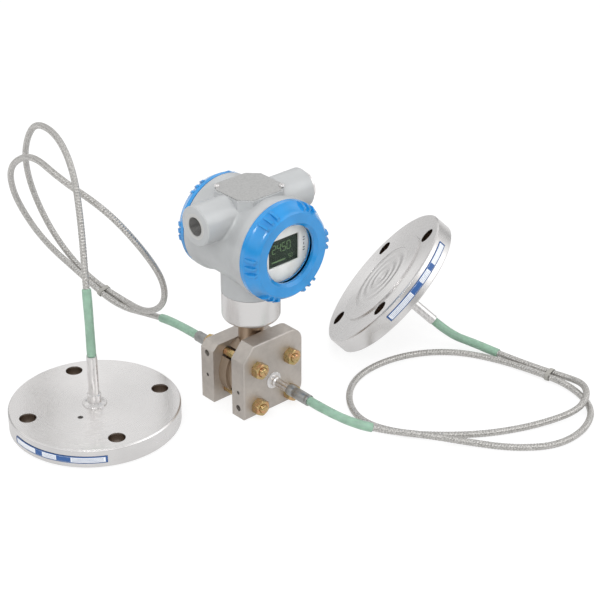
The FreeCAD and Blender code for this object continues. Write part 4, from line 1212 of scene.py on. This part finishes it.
def sky():
    """Even white seen directly and through glass; in gloss, brightest half way up and darkest just
    above the floor's edge."""
    world = bpy.data.worlds.new("studio")
    bpy.context.scene.world = world
    world.use_nodes = True
    tree = world.node_tree
    tree.nodes.clear()
    output = tree.nodes.new("ShaderNodeOutputWorld")
    plain = tree.nodes.new("ShaderNodeBackground")
    plain.inputs["Color"].default_value = (1, 1, 1, 1)
    plain.inputs["Strength"].default_value = 0.62
    white = tree.nodes.new("ShaderNodeBackground")
    white.inputs["Color"].default_value = (1, 1, 1, 1)
    white.inputs["Strength"].default_value = 1.0
    gloss = tree.nodes.new("ShaderNodeBackground")
    where = tree.nodes.new("ShaderNodeTexCoord")
    split = tree.nodes.new("ShaderNodeSeparateXYZ")
    ramp = tree.nodes.new("ShaderNodeValToRGB")
    for position, grey in ((0.12, 0.22), (0.3, 0.72), (0.48, 1.0), (0.75, 0.85), (0.98, 0.6)):
        element = ramp.color_ramp.elements.new(position)
        element.color = (grey, grey, grey, 1)
    ramp.color_ramp.elements[0].color = (0.55, 0.55, 0.55, 1)
    path = tree.nodes.new("ShaderNodeLightPath")
    bright = tree.nodes.new("ShaderNodeMixShader")
    seen = tree.nodes.new("ShaderNodeMixShader")
    either = tree.nodes.new("ShaderNodeMath")
    either.operation = "MAXIMUM"
    link = tree.links.new
    link(where.outputs["Generated"], split.inputs[0])
    link(split.outputs["Z"], ramp.inputs["Fac"])
    link(ramp.outputs["Color"], gloss.inputs["Color"])
    link(path.outputs["Is Glossy Ray"], bright.inputs[0])
    link(plain.outputs[0], bright.inputs[1])
    link(gloss.outputs[0], bright.inputs[2])
    link(path.outputs["Is Camera Ray"], either.inputs[0])
    link(path.outputs["Is Transmission Ray"], either.inputs[1])
    link(either.outputs[0], seen.inputs[0])
    link(bright.outputs[0], seen.inputs[1])
    link(white.outputs[0], seen.inputs[2])
    link(seen.outputs[0], output.inputs["Surface"])


def lamp(name, place, aim, size, watts, mirrored=False):
    """A round soft lamp; mirrored says whether gloss and metal show it."""
    light = bpy.data.lights.new(name, "AREA")
    light.shape = "DISK"
    light.size = size
    light.energy = watts
    holder = bpy.data.objects.new(name, light)
    bpy.context.scene.collection.objects.link(holder)
    holder.visible_glossy = mirrored
    holder.location = place
    holder.rotation_euler = (Vector(aim) - Vector(place)).to_track_quat("-Z", "Y").to_euler()


class TRANSMITTER_OT_stage(bpy.types.Operator):
    """Set the floor, the soft lamps and the camera"""
    bl_idname = "transmitter.stage"
    bl_label = "Stage"

    def execute(self, context):
        mesh = bpy.data.meshes.new("paper")
        corners = [(-6, -6, 0), (6, -6, 0), (6, 6, 0), (-6, 6, 0)]
        mesh.from_pydata(corners, [], [(0, 1, 2, 3)])
        mesh.materials.append(floor_finish())
        paper = bpy.data.objects.new("paper", mesh)
        context.scene.collection.objects.link(paper)
        sky()
        lamp("key_lamp", (-1.5, -0.9, 1.9), LAMP_AIM, 2.4, 19)
        lamp("fill_lamp", (1.3, -1.6, 1.4), LAMP_AIM, 2.0, 8, mirrored=True)
        lamp("glint_lamp", (-1.3, -1.2, 1.7), LAMP_AIM, 0.5, 6, mirrored=True)
        lamp("top_lamp", (0.2, 0.4, 2.1), LAMP_AIM, 2.4, 13)
        camera = bpy.data.cameras.new("camera")
        camera.lens = CAMERA_LENS
        camera.sensor_width = 36
        holder = bpy.data.objects.new("camera", camera)
        context.scene.collection.objects.link(holder)
        holder.location = Vector(STAND.tolist()) + Vector(CAMERA_OFFSET)
        level = math.cos(CAMERA_DROP)
        heading = Vector((CAMERA_HEADING[0] * level, CAMERA_HEADING[1] * level, -math.sin(CAMERA_DROP)))
        holder.rotation_euler = heading.to_track_quat("-Z", "Y").to_euler()
        context.scene.camera = holder
        context.scene.view_settings.view_transform = "Standard"
        return {"FINISHED"}


# ---------------------------------------------------------------- panel and registration

STEPS = (TRANSMITTER_OT_stage, TRANSMITTER_OT_capillaries, TRANSMITTER_OT_seals,
         TRANSMITTER_OT_heads, TRANSMITTER_OT_housing, TRANSMITTER_OT_covers, TRANSMITTER_OT_display)


class TRANSMITTER_PT_panel(bpy.types.Panel):
    """Lists the steps and the sizes and colours they use"""
    bl_label = "Transmitter"
    bl_idname = "TRANSMITTER_PT_panel"
    bl_space_type = "VIEW_3D"
    bl_region_type = "UI"
    bl_category = "Transmitter"

    def draw(self, context):
        """One button for each step, then the sizes and colours."""
        for step in STEPS:
            self.layout.operator(step.bl_idname)
        for group in (context.scene.capillary_sizes, context.scene.transmitter_colours):
            for name in group.__annotations__:
                self.layout.prop(group, name)


CLASSES = (CapillarySizes, Colours, *STEPS, TRANSMITTER_PT_panel)


def register():
    """Add the classes, and the sizes and colours on the scene."""
    for entry in CLASSES:
        bpy.utils.register_class(entry)
    bpy.types.Scene.capillary_sizes = PointerProperty(type=CapillarySizes)
    bpy.types.Scene.transmitter_colours = PointerProperty(type=Colours)


def unregister():
    """Take away what register adds."""
    del bpy.types.Scene.transmitter_colours
    del bpy.types.Scene.capillary_sizes
    for entry in reversed(CLASSES):
        bpy.utils.unregister_class(entry)


def main():
    """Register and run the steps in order."""
    register()
    bpy.ops.transmitter.stage()
    bpy.ops.transmitter.capillaries()
    bpy.ops.transmitter.seals()
    bpy.ops.transmitter.heads()
    bpy.ops.transmitter.housing()
    bpy.ops.transmitter.covers()
    bpy.ops.transmitter.display()


if __name__ == "__main__":
    main()
